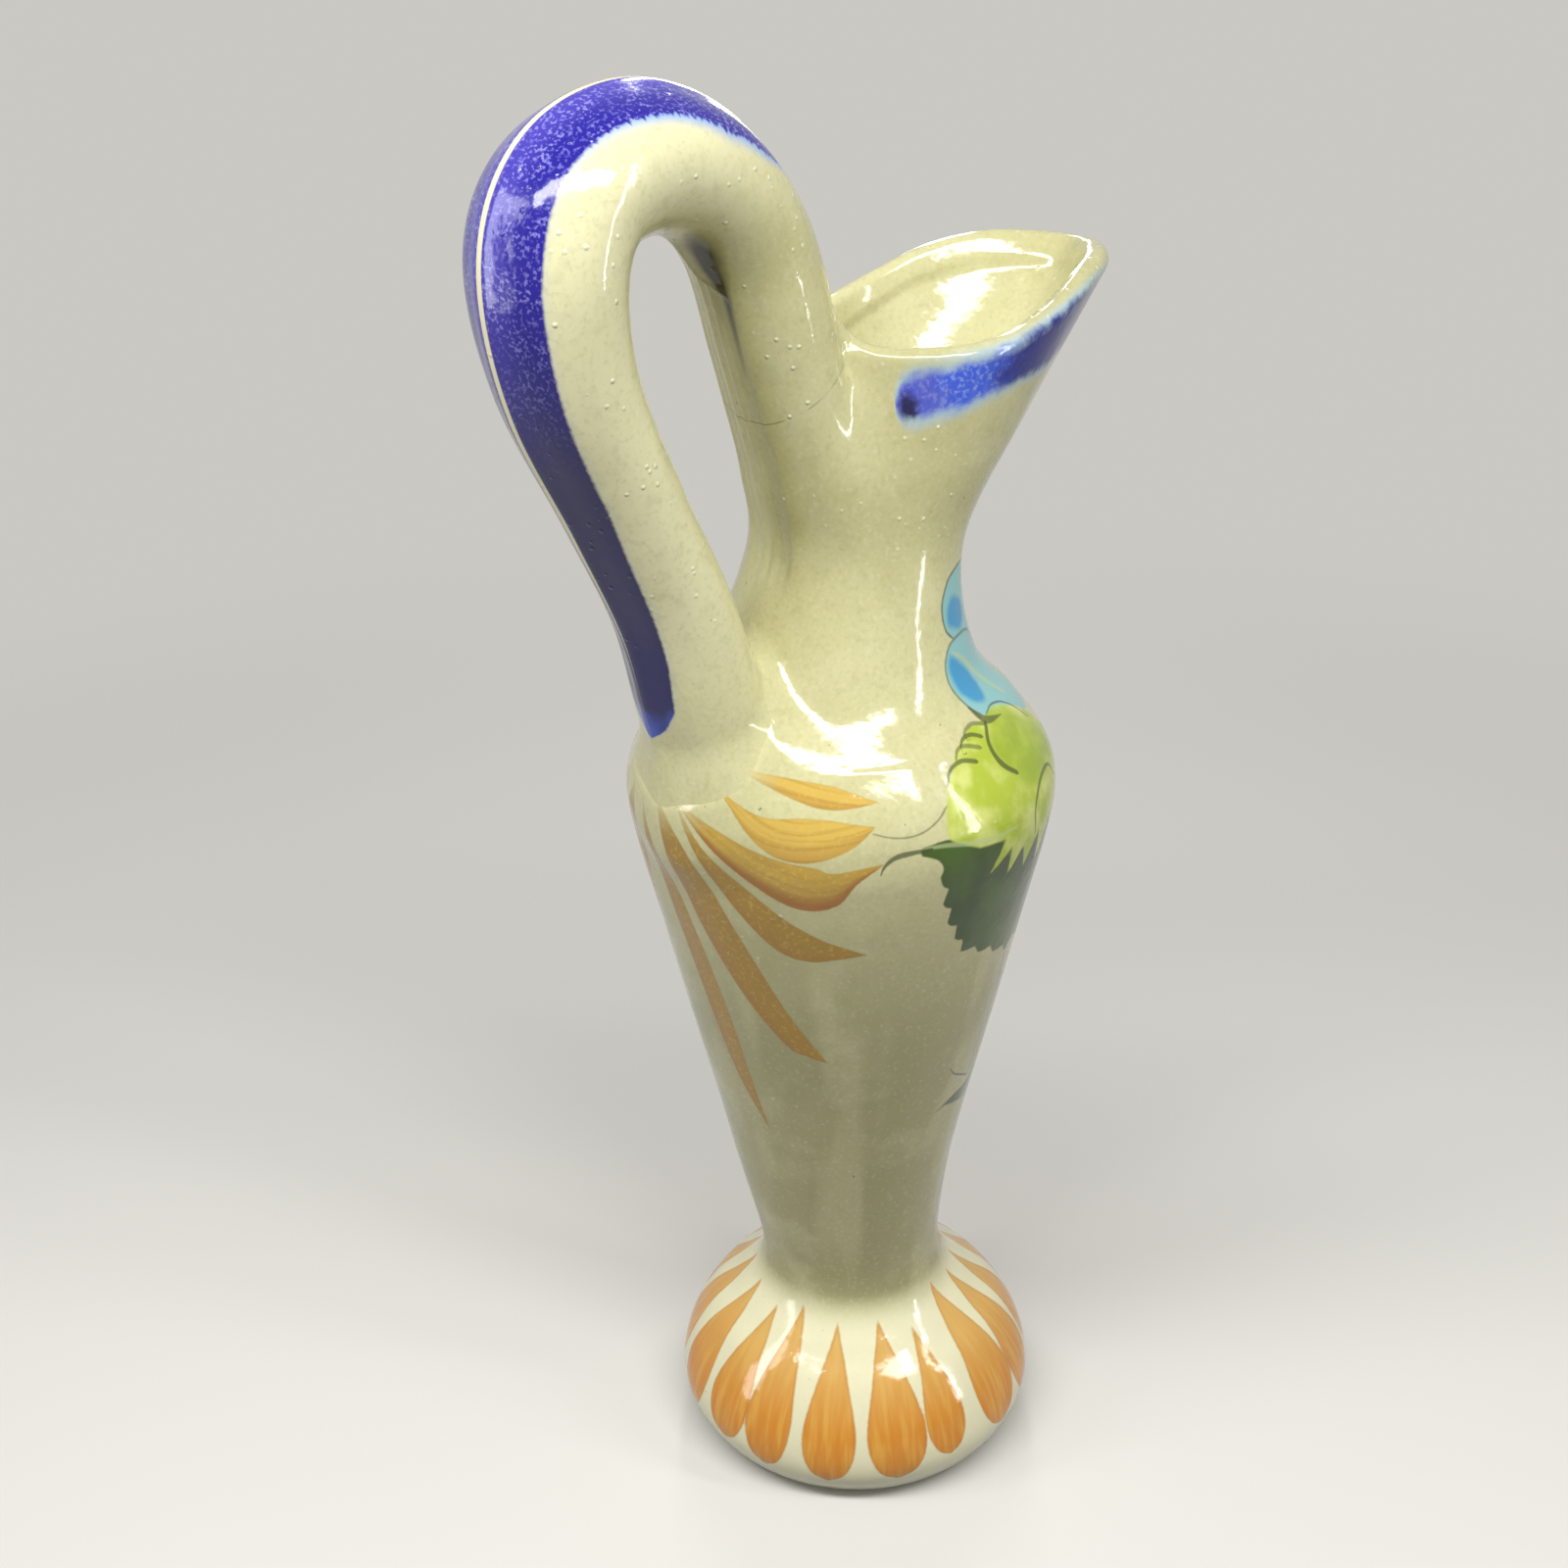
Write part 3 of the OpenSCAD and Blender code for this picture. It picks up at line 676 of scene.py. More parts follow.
RING_STEPS = 6
blue_edge, deep_edge, bloom_edge, lobe_edge, sprig_edge = np.full((5, len(pot_points)), FAR)
for edges, points in [
        (blue_edge, [(-60, 201.6), (-70, 201), (-75.4, 200), (-80, 197.3), (-80.8, 194.9), (-78.4, 191.8),
                     (-72.9, 189.6), (-60, 188), (-42, 187), (-32, 191), (-36, 198)]),
        (blue_edge, [(-66.4, 189.4), (-76, 188.8), (-80.3, 186.9), (-81.7, 184.9), (-81.4, 182.5), (-79.5, 180.2),
                     (-76.9, 177.9), (-72, 176), (-58, 174.5), (-44, 171), (-33, 172), (-34, 180), (-48, 187)]),
        (deep_edge, [(-71, 197), (-76.5, 194.8), (-75.4, 192.2), (-65.2, 190.4), (-57.6, 191.7), (-59.1, 194.9)]),
        (deep_edge, [(-77.4, 187), (-79.8, 184.9), (-78.4, 182.1), (-75.7, 179.6), (-71.2, 178.1), (-65.6, 178),
                     (-63.8, 180.5), (-67.4, 183.9), (-73.4, 186.2)]),
        (lobe_edge, [(-72.8, 175.5), (-67.3, 175.4), (-58, 173.8), (-50, 170), (-45, 165), (-54, 161.5),
                     (-65.6, 163.2), (-73.1, 164.4), (-76, 166.6), (-78.4, 169.4), (-78.2, 172.2)])]:
    filled(soft_ring(points), edges)
print("petals of the spray:", int((blue_edge > 0).sum()), "points")

# %% Bloom and leaves of the spray
bloom_top = [(-76.9, 175.9), (-68.8, 176.5), (-62, 176), (-52, 173.6), (-43, 169.6), (-37, 164), (-38, 157)]
bloom_tips = [(-44, 151), (-50, 156), (-56, 147), (-60, 155), (-66, 146.5), (-69, 154), (-75, 148),
              (-77.4, 153.5), (-83, 148.6), (-83, 154.6), (-90.7, 150.8), (-86, 157)]
bloom_back = [(-95, 157.6), (-100.2, 159.4), (-104.2, 161.4), (-103.2, 165.9), (-100.4, 169.3), (-97.6, 171.4),
              (-94.1, 173.4), (-90.1, 174.7), (-84.1, 176)]
filled(np.concatenate([smooth_curve(bloom_top, RING_STEPS), bloom_tips, smooth_curve(bloom_back, RING_STEPS)]),
       bloom_edge)
# The toothed leaf: a smooth upper edge, then scallops between the points of the teeth
LEAF_CENTRE = np.array([-70.0, 146.0])
teeth = np.array([(-106.1, 152.4), (-104.9, 147.4), (-102.6, 142.4), (-99.1, 138.1), (-95.8, 134),
                  (-87.9, 131.7), (-79.7, 129.3), (-70, 126.2), (-60, 127.2), (-51, 130), (-43.5, 134.3),
                  (-38, 140), (-35.5, 146.6), (-38, 153)])
between = (teeth[:-1] + teeth[1:]) / 2
hollow = between + np.where(between[:, :1] < -66, [1.7, 1.0], (LEAF_CENTRE - between) * 0.09)
scallops = np.stack([teeth[:-1], mix(teeth[:-1], hollow, 0.55) + [-0.5, -0.2], hollow], 1).reshape(-1, 2)
leaf_top = [(-112, 160.4), (-104.8, 161), (-97.8, 160.3), (-84, 160), (-70, 160), (-54, 158.6)]
leaf_base = [(-106.6, 153.8), (-105.9, 155.6), (-107.6, 157.6), (-112, 159)]
filled(np.concatenate([smooth_curve(leaf_top, RING_STEPS), teeth[-1:], scallops[::-1],
                       smooth_curve(leaf_base, RING_STEPS)]), sprig_edge)
# The small leaf on its own stalk below
small_top = [(-86, 91.2), (-77.4, 92.5), (-69, 93), (-55, 96.6), (-40, 100), (-25, 99.6), (-12, 94)]
small_base = [(-24, 90), (-36, 87.4), (-48, 86), (-58, 86.6), (-67, 88.2), (-78.2, 89.9)]
filled(np.concatenate([smooth_curve(line, RING_STEPS) for line in (small_top, small_base)]), sprig_edge)
print("spray points:", [int((edges > 0).sum()) for edges in (blue_edge, bloom_edge, sprig_edge)])

# %% Lines of the liner brush
line_a, line_b, line_c, fold = blank(), blank(), blank(), blank()


def lined(layer, points, widths):
    """A thin stroke through points, whose half width follows a few given values from start to end."""
    middle = on_pot(smooth_curve(points, LINE_STEPS))
    half = np.interp(np.linspace(0, 1, len(middle)), np.linspace(0, 1, len(widths)), widths)
    stroke(layer, middle, half, np.cross(np.gradient(middle, axis=0), middle * [1, 1, 0]), 0.0)


for layer, widths, points in [
        (line_a, [0.3, 0.24],
         [(-40, 188.4), (-32, 191), (-35.6, 198), (-46, 201.4), (-60, 201.8), (-70, 201.1), (-75.4, 200.1),
          (-80, 197.4), (-80.9, 194.9), (-78.4, 191.6), (-73, 189.6)]),
        (line_b, [0.25, 0.3, 0.24, 0.3],
         [(-33, 173), (-34, 180), (-47.6, 187), (-56, 189), (-66.4, 189.5), (-76, 188.9), (-80.4, 186.9),
          (-81.9, 184.9), (-81.5, 182.4), (-79.6, 180.1), (-77, 177.8), (-75.6, 176.3)]),
        (line_a, [0.25, 0.8, 0.9, 0.1], [(-78, 178.4), (-75.9, 176.7), (-73.4, 175.6), (-64.8, 174.9)]),
        (line_c, [0.4, 0.48, 0.66, 0.5],
         [(-75.3, 175.5), (-79.3, 173.3), (-80, 170.8), (-78.5, 168.7), (-74.9, 166.8)]),
        (line_c, [0.1, 0.22, 0.16],
         [(-72.4, 176.2), (-69.9, 176.5), (-66.2, 176.8), (-61.3, 176.4), (-57.5, 175.6), (-53, 173.7),
          (-48, 170.4)]),
        (line_b, [0.42, 0.4, 0.22], [(-76.3, 175.4), (-81, 176.2), (-85.6, 175.9), (-87.8, 175.2)]),
        (line_a, [0.45, 0.42, 0.22], [(-81, 174.1), (-84.8, 175), (-88.9, 174.9), (-91.5, 173.9)]),
        (line_b, [0.45, 0.42, 0.22], [(-84, 172.8), (-89.4, 173.9), (-93.1, 173.7), (-95, 172.4)]),
        (line_a, [0.48, 0.42, 0.2], [(-88, 171.2), (-92.4, 172), (-95.7, 171.9), (-98.9, 171), (-101, 169)]),
        (line_a, [0.2, 0.4, 0.4, 0.25],
         [(-71.4, 153.8), (-71.7, 159), (-67.4, 162.4), (-61, 163.7), (-55.8, 163.1), (-53, 160)]),
        (line_b, [0.2, 0.14],
         [(-102.9, 166.5), (-106.1, 164.7), (-110.5, 163.2), (-114.8, 162.7), (-119.4, 163), (-123.9, 163.9)]),
        (line_c, [0.08, 0.35, 0.55, 0.3],
         [(-122.4, 155.9), (-121.4, 157.8), (-118.8, 159.3), (-115, 159.8), (-109, 159.9)]),
        (line_a, [0.12, 0.3], [(-86.8, 101.7), (-84, 99.8), (-81.2, 98.6), (-70.4, 95.2)]),
        (line_a, [0.1, 0.5], [(-89, 90.4), (-84, 91), (-79, 91.6)]),
        (line_b, [0.2, 0.4, 0.3], [(-69, 127.4), (-65, 118), (-57, 109), (-46, 102.4), (-38, 98.6)]),
        (fold, [0.1, 0.35, 0.6, 0.2],
         [(-117, 159.7), (-111.5, 160.2), (-104.9, 160), (-96.7, 159), (-88.5, 158.4), (-80.4, 158.5)]),
        (fold, [0.3, 0.7, 0.5], [(-75, 187.4), (-66, 184.8), (-57, 180), (-50, 176)])]:
    lined(layer, points, widths)
print("lines pass", [int((layer["half"] > FAR).sum()) for layer in (line_a, line_b, line_c)], "points")

# %% A five-petalled blossom at the front
petal_turn = np.radians(np.arange(0, 360, 12))
BLOSSOM_Z, ROUND_MM, HEART_R = 150.0, 40.0, 3.6
PETAL_MIDDLE, PETAL_LONG, PETAL_HALF = 8.8, 7.6, 5.4


def beside_front(across, up):
    """Millimetres across and above the middle of the front as column angle and height."""
    return np.stack([np.degrees(across / ROUND_MM), BLOSSOM_Z + up], 1)


reach = PETAL_MIDDLE + PETAL_LONG * np.cos(petal_turn)
width = PETAL_HALF * np.sin(petal_turn) * (1 + 0.15 * np.cos(petal_turn))
for k, layer in enumerate((line_a, line_b, line_c, line_a, line_b)):
    c, s = np.cos(np.radians(90 + 72 * k)), np.sin(np.radians(90 + 72 * k))
    ring = beside_front(reach * c - width * s, reach * s + width * c)
    filled(ring, blue_edge)
    filled(mix(ring.mean(0), ring, 0.55), deep_edge)
    lined(layer, np.roll(ring, 14, 0)[2:-1:2], [0.2, 0.32, 0.2])
from_middle = np.hypot(np.radians(pot_angle) * ROUND_MM, pot_points[:, 2] - BLOSSOM_Z)
blue_edge = np.minimum(blue_edge, from_middle - HEART_R + 0.4)
filled(beside_front(HEART_R * np.cos(petal_turn), HEART_R * np.sin(petal_turn)), bloom_edge)
print("blue on", int((blue_edge > 0).sum()), "points")

# %% [markdown]
# ## Petals round the foot
# Seventeen orange petals stand round the foot, each one press of a loaded brush: pointed where the
# brush lifted off near the stem, round where it came down near the table. No two are alike in width,
# place or length. Their half width is a function of the height, one curve for all, which each petal
# stretches by its own measures. Every vertex keeps the distance inside the petal that it is deepest in.

# %% Width of the petals
def only(where, distance):
    """A distance inside an edge that counts in one place. It is never below FAR, and FAR everywhere else."""
    return np.where(where, np.maximum(distance, FAR), FAR)


PETAL_ANGLE = np.array([-162.5, -141, -118.3, -100.5, -76, -56, -36, -14.5, 7, 28.5, 50, 71.5, 93, 114.5, 136,
                        159, 180.5])
PETAL_WIDE = np.array([0.95, 1.02, 1.15, 0.84, 1.16, 1.06, 1, 0.95, 1.05, 0.97, 1.1, 0.9, 1.03, 1, 0.96, 1.06, 1])
PETAL_TOP = np.array([38.7, 36.7, 37, 34.8, 39.4, 38, 37.5, 38, 36.5, 39, 37, 36, 38.5, 37, 38, 37.4, 36.4])
PETAL_END = np.array([8.4, 8.3, 8.6, 11.4, 9.8, 9, 8.5, 9, 8.2, 9.4, 8.6, 10, 8.4, 9, 8.8, 8.3, 9.6])
# The way along a petal starts from sixty of its own, so that no two have the same brush marks
PETALS_BELOW, PETAL_START = 43.0, 60.0
# Share of the height and half width there, in millimetres
width_line = smooth_curve([(-0.06, -2.6), (0, 0), (0.05, 2.7), (0.13, 4.4), (0.25, 5.5), (0.4, 5.6), (0.57, 4.5),
                           (0.75, 2.7), (0.9, 1.0), (1, 0.05), (1.08, -1.4)], RING_STEPS)
apart = np.radians((pot_angle[:, None] - PETAL_ANGLE + 180) % 360 - 180)
apart *= np.hypot(pot_points[:, :1], pot_points[:, 1:2])
up = (pot_points[:, 2:] - PETAL_END) / (PETAL_TOP - PETAL_END)
inside = np.interp(up, width_line[:, 0], width_line[:, 1]) * PETAL_WIDE - np.abs(apart)
petal = inside.argmax(1)[:, None]
petal_edge = only(pot_points[:, 2] < PETALS_BELOW, inside.max(1))
petal_offset = np.take_along_axis(apart, petal, 1)[:, 0]
petal_along = pot_points[:, 2] + petal[:, 0] * PETAL_START
print("petal points:", int((petal_edge > 0).sum()))

# %% [markdown]
# ## Cobalt on the rim and the handle
# Under the lip and along the outside of the handle the painter laid bands of cobalt. On the handle
# the band is as wide as the loop's back and ends in a rounded tip on the root. The seam ridge stays
# pale, because molten glaze draws away from an edge.

# %% Bands of cobalt
CREST, RIDGE_PALE = np.pi / 4 * LIP, 0.72
# Column, upper and lower line of the rim's band in millimetres below the crest of the lip
rim_band = np.array([(0, 4.5, 17), (30, 4.2, 18), (45, 3.0, 15.5), (52, 2.6, 13.4), (62, 2.6, 11),
                     (73, 3.0, 10.6), (84, 4.0, 12), (93, 5.0, 12.8), (99, 5.4, 13.8), (102.5, 6.6, 13.4),
                     (104.5, 9.2, 12.6), (105.5, 11, 11)])
below_crest = np.concatenate([below_rim + CREST, CREST * np.cos(half_turn[:, :, 0]) * np.ones(COLUMNS)])
upper, lower = (np.interp(side, rim_band[:, 0], rim_band[:, k]) for k in (1, 2))
rim_edge = only(side < 106, np.minimum(below_crest - upper, lower - below_crest))
rim_along = np.broadcast_to(side, rim_edge.shape)
# Half width of the handle's band along the loop
handle_band = np.array([(1.95, -4), (2.05, 0), (2.14, 3.6), (2.32, 6.3), (2.73, 7.1), (3.19, 7.5), (3.74, 8.2),
                        (4.21, 9.1), (4.9, 10.1), (5.55, 10.9), (6.2, 11.1), (6.84, 10.5), (7.6, 10.6),
                        (8.29, 10.8), (8.71, 11.1), (9.21, 10.0), (9.61, 7.0), (9.95, 3.0), (10.1, 0), (10.2, -4)])
band_half = np.interp(handle_s, handle_band[:, 0], handle_band[:, 1])
cobalt_edge = only(np.abs(handle_angle) < 90, band_half - np.abs(handle_y))
ridge_half = RIDGE_PALE * share(handle_s, 2.3, 4.5) * share(-handle_s, -10.1, -9.4) - 0.02
ridge_half = only(np.abs(handle_angle) < 40, ridge_half)
# The upper joint shows as a hairline in the glaze. The points of the loop are so far apart there
POINT_MM = 17.0
hairline = only(np.abs(handle_angle) > CORNER_ANGLE, -np.abs(handle_s - handle_joint) * POINT_MM)
print("cobalt on", int((cobalt_edge > 0).sum()), "points of the handle")

# %% [markdown]
# ## From grid to mesh
# A grid of rows becomes a mesh of quads. The rows of the foot end in a point at the axis, the rows
# of body and neck run round the wall and close on themselves. The normals are kept from the whole
# vessel, so that no line shows where one piece ends and the next begins.

# %% Build a mesh from rows
def make_piece(name, rows, normals, closed, paint, part, from_row=0):
    """Quads between neighbouring rows. Closed rows join last to first, open ones end in a fan round their middle.
    The given part of the paint starts at one of the rows."""
    count, around = rows.shape[:2]
    k, j = np.meshgrid(np.arange(count if closed else count - 1), np.arange(around), indexing="ij")
    up, on = (k + 1) % count, (j + 1) % around
    quads = np.stack([k * around + j, k * around + on, up * around + on, up * around + j], -1).reshape(-1, 4)
    points, directions = rows.reshape(-1, 3), normals.reshape(-1, 3)
    faces = quads.tolist()
    if not closed:
        points = np.concatenate([points, [rows[0].mean(0), rows[-1].mean(0)]])
        directions = np.concatenate([directions, normals[[0, -1]].mean(1)])
        first, last = np.arange(around), (count - 1) * around + np.arange(around)
        pole = np.full(around, count * around)
        faces += np.stack([np.roll(first, -1), first, pole], 1).tolist()
        faces += np.stack([last, np.roll(last, -1), pole + 1], 1).tolist()
    mesh = bpy.data.meshes.new(name)
    mesh.from_pydata(points / MM, [], faces)
    mesh.polygons.foreach_set("use_smooth", np.ones(len(mesh.polygons), bool))
    mesh.normals_split_custom_set_from_vertices(unit(directions))
    for key in PAINTS:
        values = np.full(len(points), FAR)
        if key in paint:
            given = paint[key][part].reshape(-1)
            values[from_row * around :][: len(given)] = given
        mesh.attributes.new(key, "FLOAT", "POINT").data.foreach_set("value", values.astype(np.float32))
    piece = bpy.data.objects.new(name, mesh)
    bpy.context.scene.collection.objects.link(piece)
    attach(piece, "root")
    print(name, "has", len(points), "points and", sum(len(f) - 2 for f in faces), "triangles")
    return piece


def with_outer(rows, first, outer_normals):
    """Normals of a piece's rows, with those of the whole vessel where the rows are part of it."""
    normals = facing(rows)
    normals[first : first + len(outer_normals)] = outer_normals
    return normals


print("one piece is a grid of rows, such as", vessel.shape)

# %% What the pieces carry
rim_paint = {"rim_edge": rim_edge, "rim_along": rim_along, "rim_down": below_crest}
pot_paint = {"blue_edge": blue_edge, "deep_edge": deep_edge, "bloom_edge": bloom_edge, "lobe_edge": lobe_edge,
             "sprig_edge": sprig_edge, "petal_offset": petal_offset, "petal_edge": petal_edge,
             "petal_along": petal_along, **{key: values[: len(pot)] for key, values in rim_paint.items()}}
for name, layer in [("leaf_a", leaf_a), ("leaf_b", leaf_b), ("line_a", line_a), ("line_b", line_b),
                    ("line_c", line_c), ("fold", fold)]:
    kept = ("offset", "half", "along") if "leaf" in name else ("offset", "half")
    pot_paint.update({name + "_" + key: layer[key] for key in kept})
pot_paint = {key: values.reshape(pot.shape[:2]) for key, values in pot_paint.items()}
handle_paint = {"cobalt_edge": cobalt_edge, "cobalt_along": handle_s, "cobalt_across": handle_y,
                "ridge_half": ridge_half, "pool_and_shade": pool_and_shade, "hairline": hairline}
PAINTS = list(pot_paint) + list(handle_paint)
print("carried values:", ", ".join(PAINTS))

# %% Foot and body
RECESS_R, RECESS_DEPTH, FLOOR_Z, POLE_R = 25.0, 3.5, 9.5, 0.6
recess_line = [[POLE_R, RECESS_DEPTH], [RECESS_R - RECESS_DEPTH, RECESS_DEPTH], [RECESS_R, 0.0],
               [profile[0, 0], 0.0]]
recess_line = even_steps(np.array(recess_line), 2 * GRID_STEP)[:-1]
inside_line = inner[: foot_row + 1 : 2, 180][:, [0, 2]]
inside_line = inside_line[inside_line[:, 1] > FLOOR_Z][::-1]
floor_line = even_steps(np.array([[inside_line[-1, 0], FLOOR_Z], [POLE_R, FLOOR_Z]]), 2.0)
inside_line = np.concatenate([inside_line, floor_line])
on_foot, on_body = slice(0, foot_row + 1), slice(foot_row, neck_row + 1)
foot_rows = settle(np.concatenate([carried_round(recess_line), vessel[on_foot], carried_round(inside_line)]))
body_rows = settle(np.concatenate([vessel[on_body], inner[neck_row : foot_row - 1 : -4]]))
foot_normals = with_outer(foot_rows, len(recess_line), whole_facing[on_foot])
body_normals = with_outer(body_rows, 0, whole_facing[on_body])
foot = make_piece("foot", foot_rows, foot_normals, False, pot_paint, on_foot, len(recess_line))
body = make_piece("body", body_rows, body_normals, True, pot_paint, on_body)
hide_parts("foot", "foot_seam")
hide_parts("body")

# %% Neck and handle
on_neck, backwards = slice(neck_row, None), slice(None, None, -1)
neck_piece_rows = np.concatenate([vessel[on_neck], lip, inner[: neck_row - 1 : -1]])
neck_normals = with_outer(neck_piece_rows, 0, whole_facing[neck_row:-1])
last = len(vessel) - 1 - neck_row
neck_normals[last] = mix(neck_normals[last], whole_facing[-1], lip_end)
# The rim's band goes on over the lip
neck = make_piece("neck", neck_piece_rows, neck_normals, True, {**pot_paint, **rim_paint}, on_neck)
handle_piece = make_piece("handle", handle[backwards], handle_skin_facing[backwards], False,
                          handle_paint, backwards)
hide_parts("neck", "neck_seam")
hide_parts("handle", "handle_top_seam", "handle_root_seam")

# %% [markdown]
# ## The glaze
# The clay is a buff stoneware under a clear, slightly yellow-green glaze. To the eye that is a soft
# khaki cream, cloudy where the coat is thicker, with fine specks of iron, and a hard wet gloss with
# small pimples. Paint lies under the glaze, so it changes the colour and leaves the gloss alone.

# %% One function that adds a node
material = bpy.data.materials.new("glazed_stoneware")
material.use_nodes = True
tree = material.node_tree
shader = tree.nodes["Principled BSDF"]
NOISE, MATH, MIX, STEP = "ShaderNodeTexNoise", "ShaderNodeMath", "ShaderNodeMix", "ShaderNodeMapRange"
VECTOR, COMBINE, SOFT = "ShaderNodeVectorMath", "ShaderNodeCombineXYZ", "SMOOTHSTEP"
CREAM = "#ceca98"


def node(kind, inputs, out=0, **settings):
    """Adds a node and returns one output. Inputs are sockets by number or name, each a value or another output."""
    made = tree.nodes.new(kind)
    for key, value in settings.items():
        setattr(made, key, value)
    for key, value in inputs.items() if isinstance(inputs, dict) else enumerate(inputs):
        if isinstance(value, bpy.types.NodeSocket):
            tree.links.new(value, made.inputs[key])
        else:
            made.inputs[key].default_value = value
    return made.outputs[out]


def linear(hex_colour):
    """sRGB hex to linear: c / 12.92 for dark values, ((c + 0.055) / 1.055) to the power 2.4 for the rest."""
    c = np.array([int(hex_colour[k : k + 2], 16) / 255 for k in (1, 3, 5)])
    c = np.where(c <= 0.04045, c / 12.92, ((c + 0.055) / 1.055) ** 2.4)
    return (*map(float, c), 1.0)


print("glaze cream in linear light:", linear(CREAM))

# %% Patterns by their size, and what the meshes carry
# Grain in millimetres. Mottling, boiled cobalt and specks of iron are finer than 0.5 mm on the real glaze and
# are drawn at 0.9, at 0.65 and by the peaks of the 1.6 so that they show
GRAINS = (45, 14, 6, 3, 1.6, 0.9, 0.65)
place = node("ShaderNodeTexCoord", {}, "Object")
height = node("ShaderNodeSeparateXYZ", {0: place}, "Z")
grain = {size: node(NOISE, {"Vector": place, "Scale": MM / size, "Detail": 3.0}, "Fac") for size in GRAINS}
at = {key: node("ShaderNodeAttribute", {}, "Fac", attribute_name=key) for key in PAINTS}
handle_way = at["cobalt_along"]
# Furrows are 11 mm apart and eight times as long
drawn_up = node(VECTOR, [place, (1.0, 1.0, 0.12)], operation="MULTIPLY")
furrow = node(NOISE, {"Vector": drawn_up, "Scale": MM / 11.0, "Detail": 1.0}, "Fac")
# Pimples about a millimetre wide and 3 to 4 mm apart, in patches, more of them on the handle
bubble = node("ShaderNodeTexVoronoi", {"Vector": place, "Scale": MM / 2.8}, "Distance")
on_handle = node(MATH, [node(STEP, [grain[14], 0.46, 0.54], interpolation_type=SOFT),
                        node(STEP, [handle_way, 2.5, 3.5])], operation="MULTIPLY")
patch = node(STEP, [grain[45], 0.54, 0.68], interpolation_type=SOFT)
patch = node(MATH, [patch, on_handle], operation="MAXIMUM")
pimple = node(STEP, [bubble, 0.20, 0.03], interpolation_type=SOFT)
pimple = node(MATH, [pimple, patch], operation="MULTIPLY")
print("patterns:", len(grain), "carried values:", len(at))


# %% Edges, brush marks and coats
def cover(edge, softness, ragged=0.1, size=0.9):
    """Share of paint from the distance inside its edge, which fine grain makes a little ragged."""
    wander = node(MATH, [grain[size], 2 * ragged, -ragged], operation="MULTIPLY_ADD")
    inside = node(MATH, [edge, wander], operation="ADD")
    return node(STEP, [inside, -softness, softness], interpolation_type=SOFT)


def within(name):
    """Distance inside a stroke: half its width less the offset from its middle."""
    aside = node(MATH, [at[name + "_offset"]], operation="ABSOLUTE")
    return node(MATH, [at[name + "_half"], aside], operation="SUBTRACT")


def streaks(across, along, width, length):
    """Brush marks: grain in millimetres that is narrow across the stroke and long along it."""
    where = node(COMBINE, [node(MATH, [across, 1 / width], operation="MULTIPLY"),
                           node(MATH, [along, 1 / length], operation="MULTIPLY")])
    return node(NOISE, {"Vector": where, "Scale": 1.0, "Detail": 2.0}, "Fac")


def both(*ranges):
    """Product of two soft steps. Each is a pattern, where the step starts and ends, and the values there."""
    first, second = (node(STEP, list(span), interpolation_type=SOFT) for span in ranges)
    return node(MATH, [first, second], operation="MULTIPLY")


def laid(ground, coats):
    """Coats of paint over a ground, each a colour and its cover. The cover is an output, or a pattern with the
    values where it starts and is full, and the full cover."""
    for paint, amount in coats:
        if isinstance(amount, tuple):
            pattern, start, full, most = amount
            amount = node(STEP, [pattern, start, full, 0, most], interpolation_type=SOFT)
        paint = linear(paint) if isinstance(paint, str) else paint
        ground = node(MIX, {0: amount, 6: ground, 7: paint}, 2, data_type="RGBA")
    return ground


print("patterns take", len(tree.nodes), "nodes")

# %% Ground colour of the glaze
colour = laid(linear(CREAM), [
    # Painted half shade on the lower wall, pale furrows that are partly painted light,
    # clouds of a thicker coat, painted light on the pale handle
    ("#918d5e", both((height, 0.165, 0.105), (height, 0.037, 0.043, 0, 0.8))),
    # The furrows laid paler: partly paler glaze, partly painted streaks of light
    ("#cbc798", (furrow, 0.50, 0.68, 0.45)),
    ("#b1ac78", (grain[45], 0.46, 0.70, 0.6)),
    ("#e2deb4", (grain[14], 0.50, 0.75, 0.25)),
    # Painted light: the handle laid paler, as the light that falls on it from above
    ("#e9e5b9", both((handle_way, 1.6, 3.4), (handle_way, 10.0, 8.4, 0, 0.75))),
    # Fine mottling, the pale foot, partly painted light, pimples painted pale partly as glints,
    # the pool of glaze with painted shade, the hairline of the joint, specks of iron
    ("#9f9a68", (grain[3], 0.50, 0.75, 0.18)),
    ("#9f9a68", (grain[0.9], 0.50, 0.74, 0.20)),
    ("#ebe7c4", (grain[0.9], 0.46, 0.26, 0.18)),
    # The foot laid paler: partly a paler coat, partly painted light on its upturned face
    ("#efeac6", (height, 0.043, 0.035, 0.78)),
    # Pimples laid pale, partly as painted glints
    ("#f2eed2", node(MATH, [pimple, 0.7], operation="MULTIPLY")),
    ("#2c280a", node(STEP, [at["pool_and_shade"], 0.1, 0.8, 0, 0.95])),
    ("#5f5832", both((at["hairline"], -0.4, -0.12, 0, 0.7), (grain[6], 0.40, 0.52))),
    ("#4c4526", (grain[1.6], 0.745, 0.77, 0.55))])
print("ground laid in", len(tree.nodes), "nodes")

# %% [markdown]
# ## The painted colours
# Ochre, orange and green are earths and oxides in water. A brush leaves them thin in its middle and
# pools them at the edge where it turned. So each colour gets brush marks, a darker edge and a cover
# of less than one, through which the glaze shows.

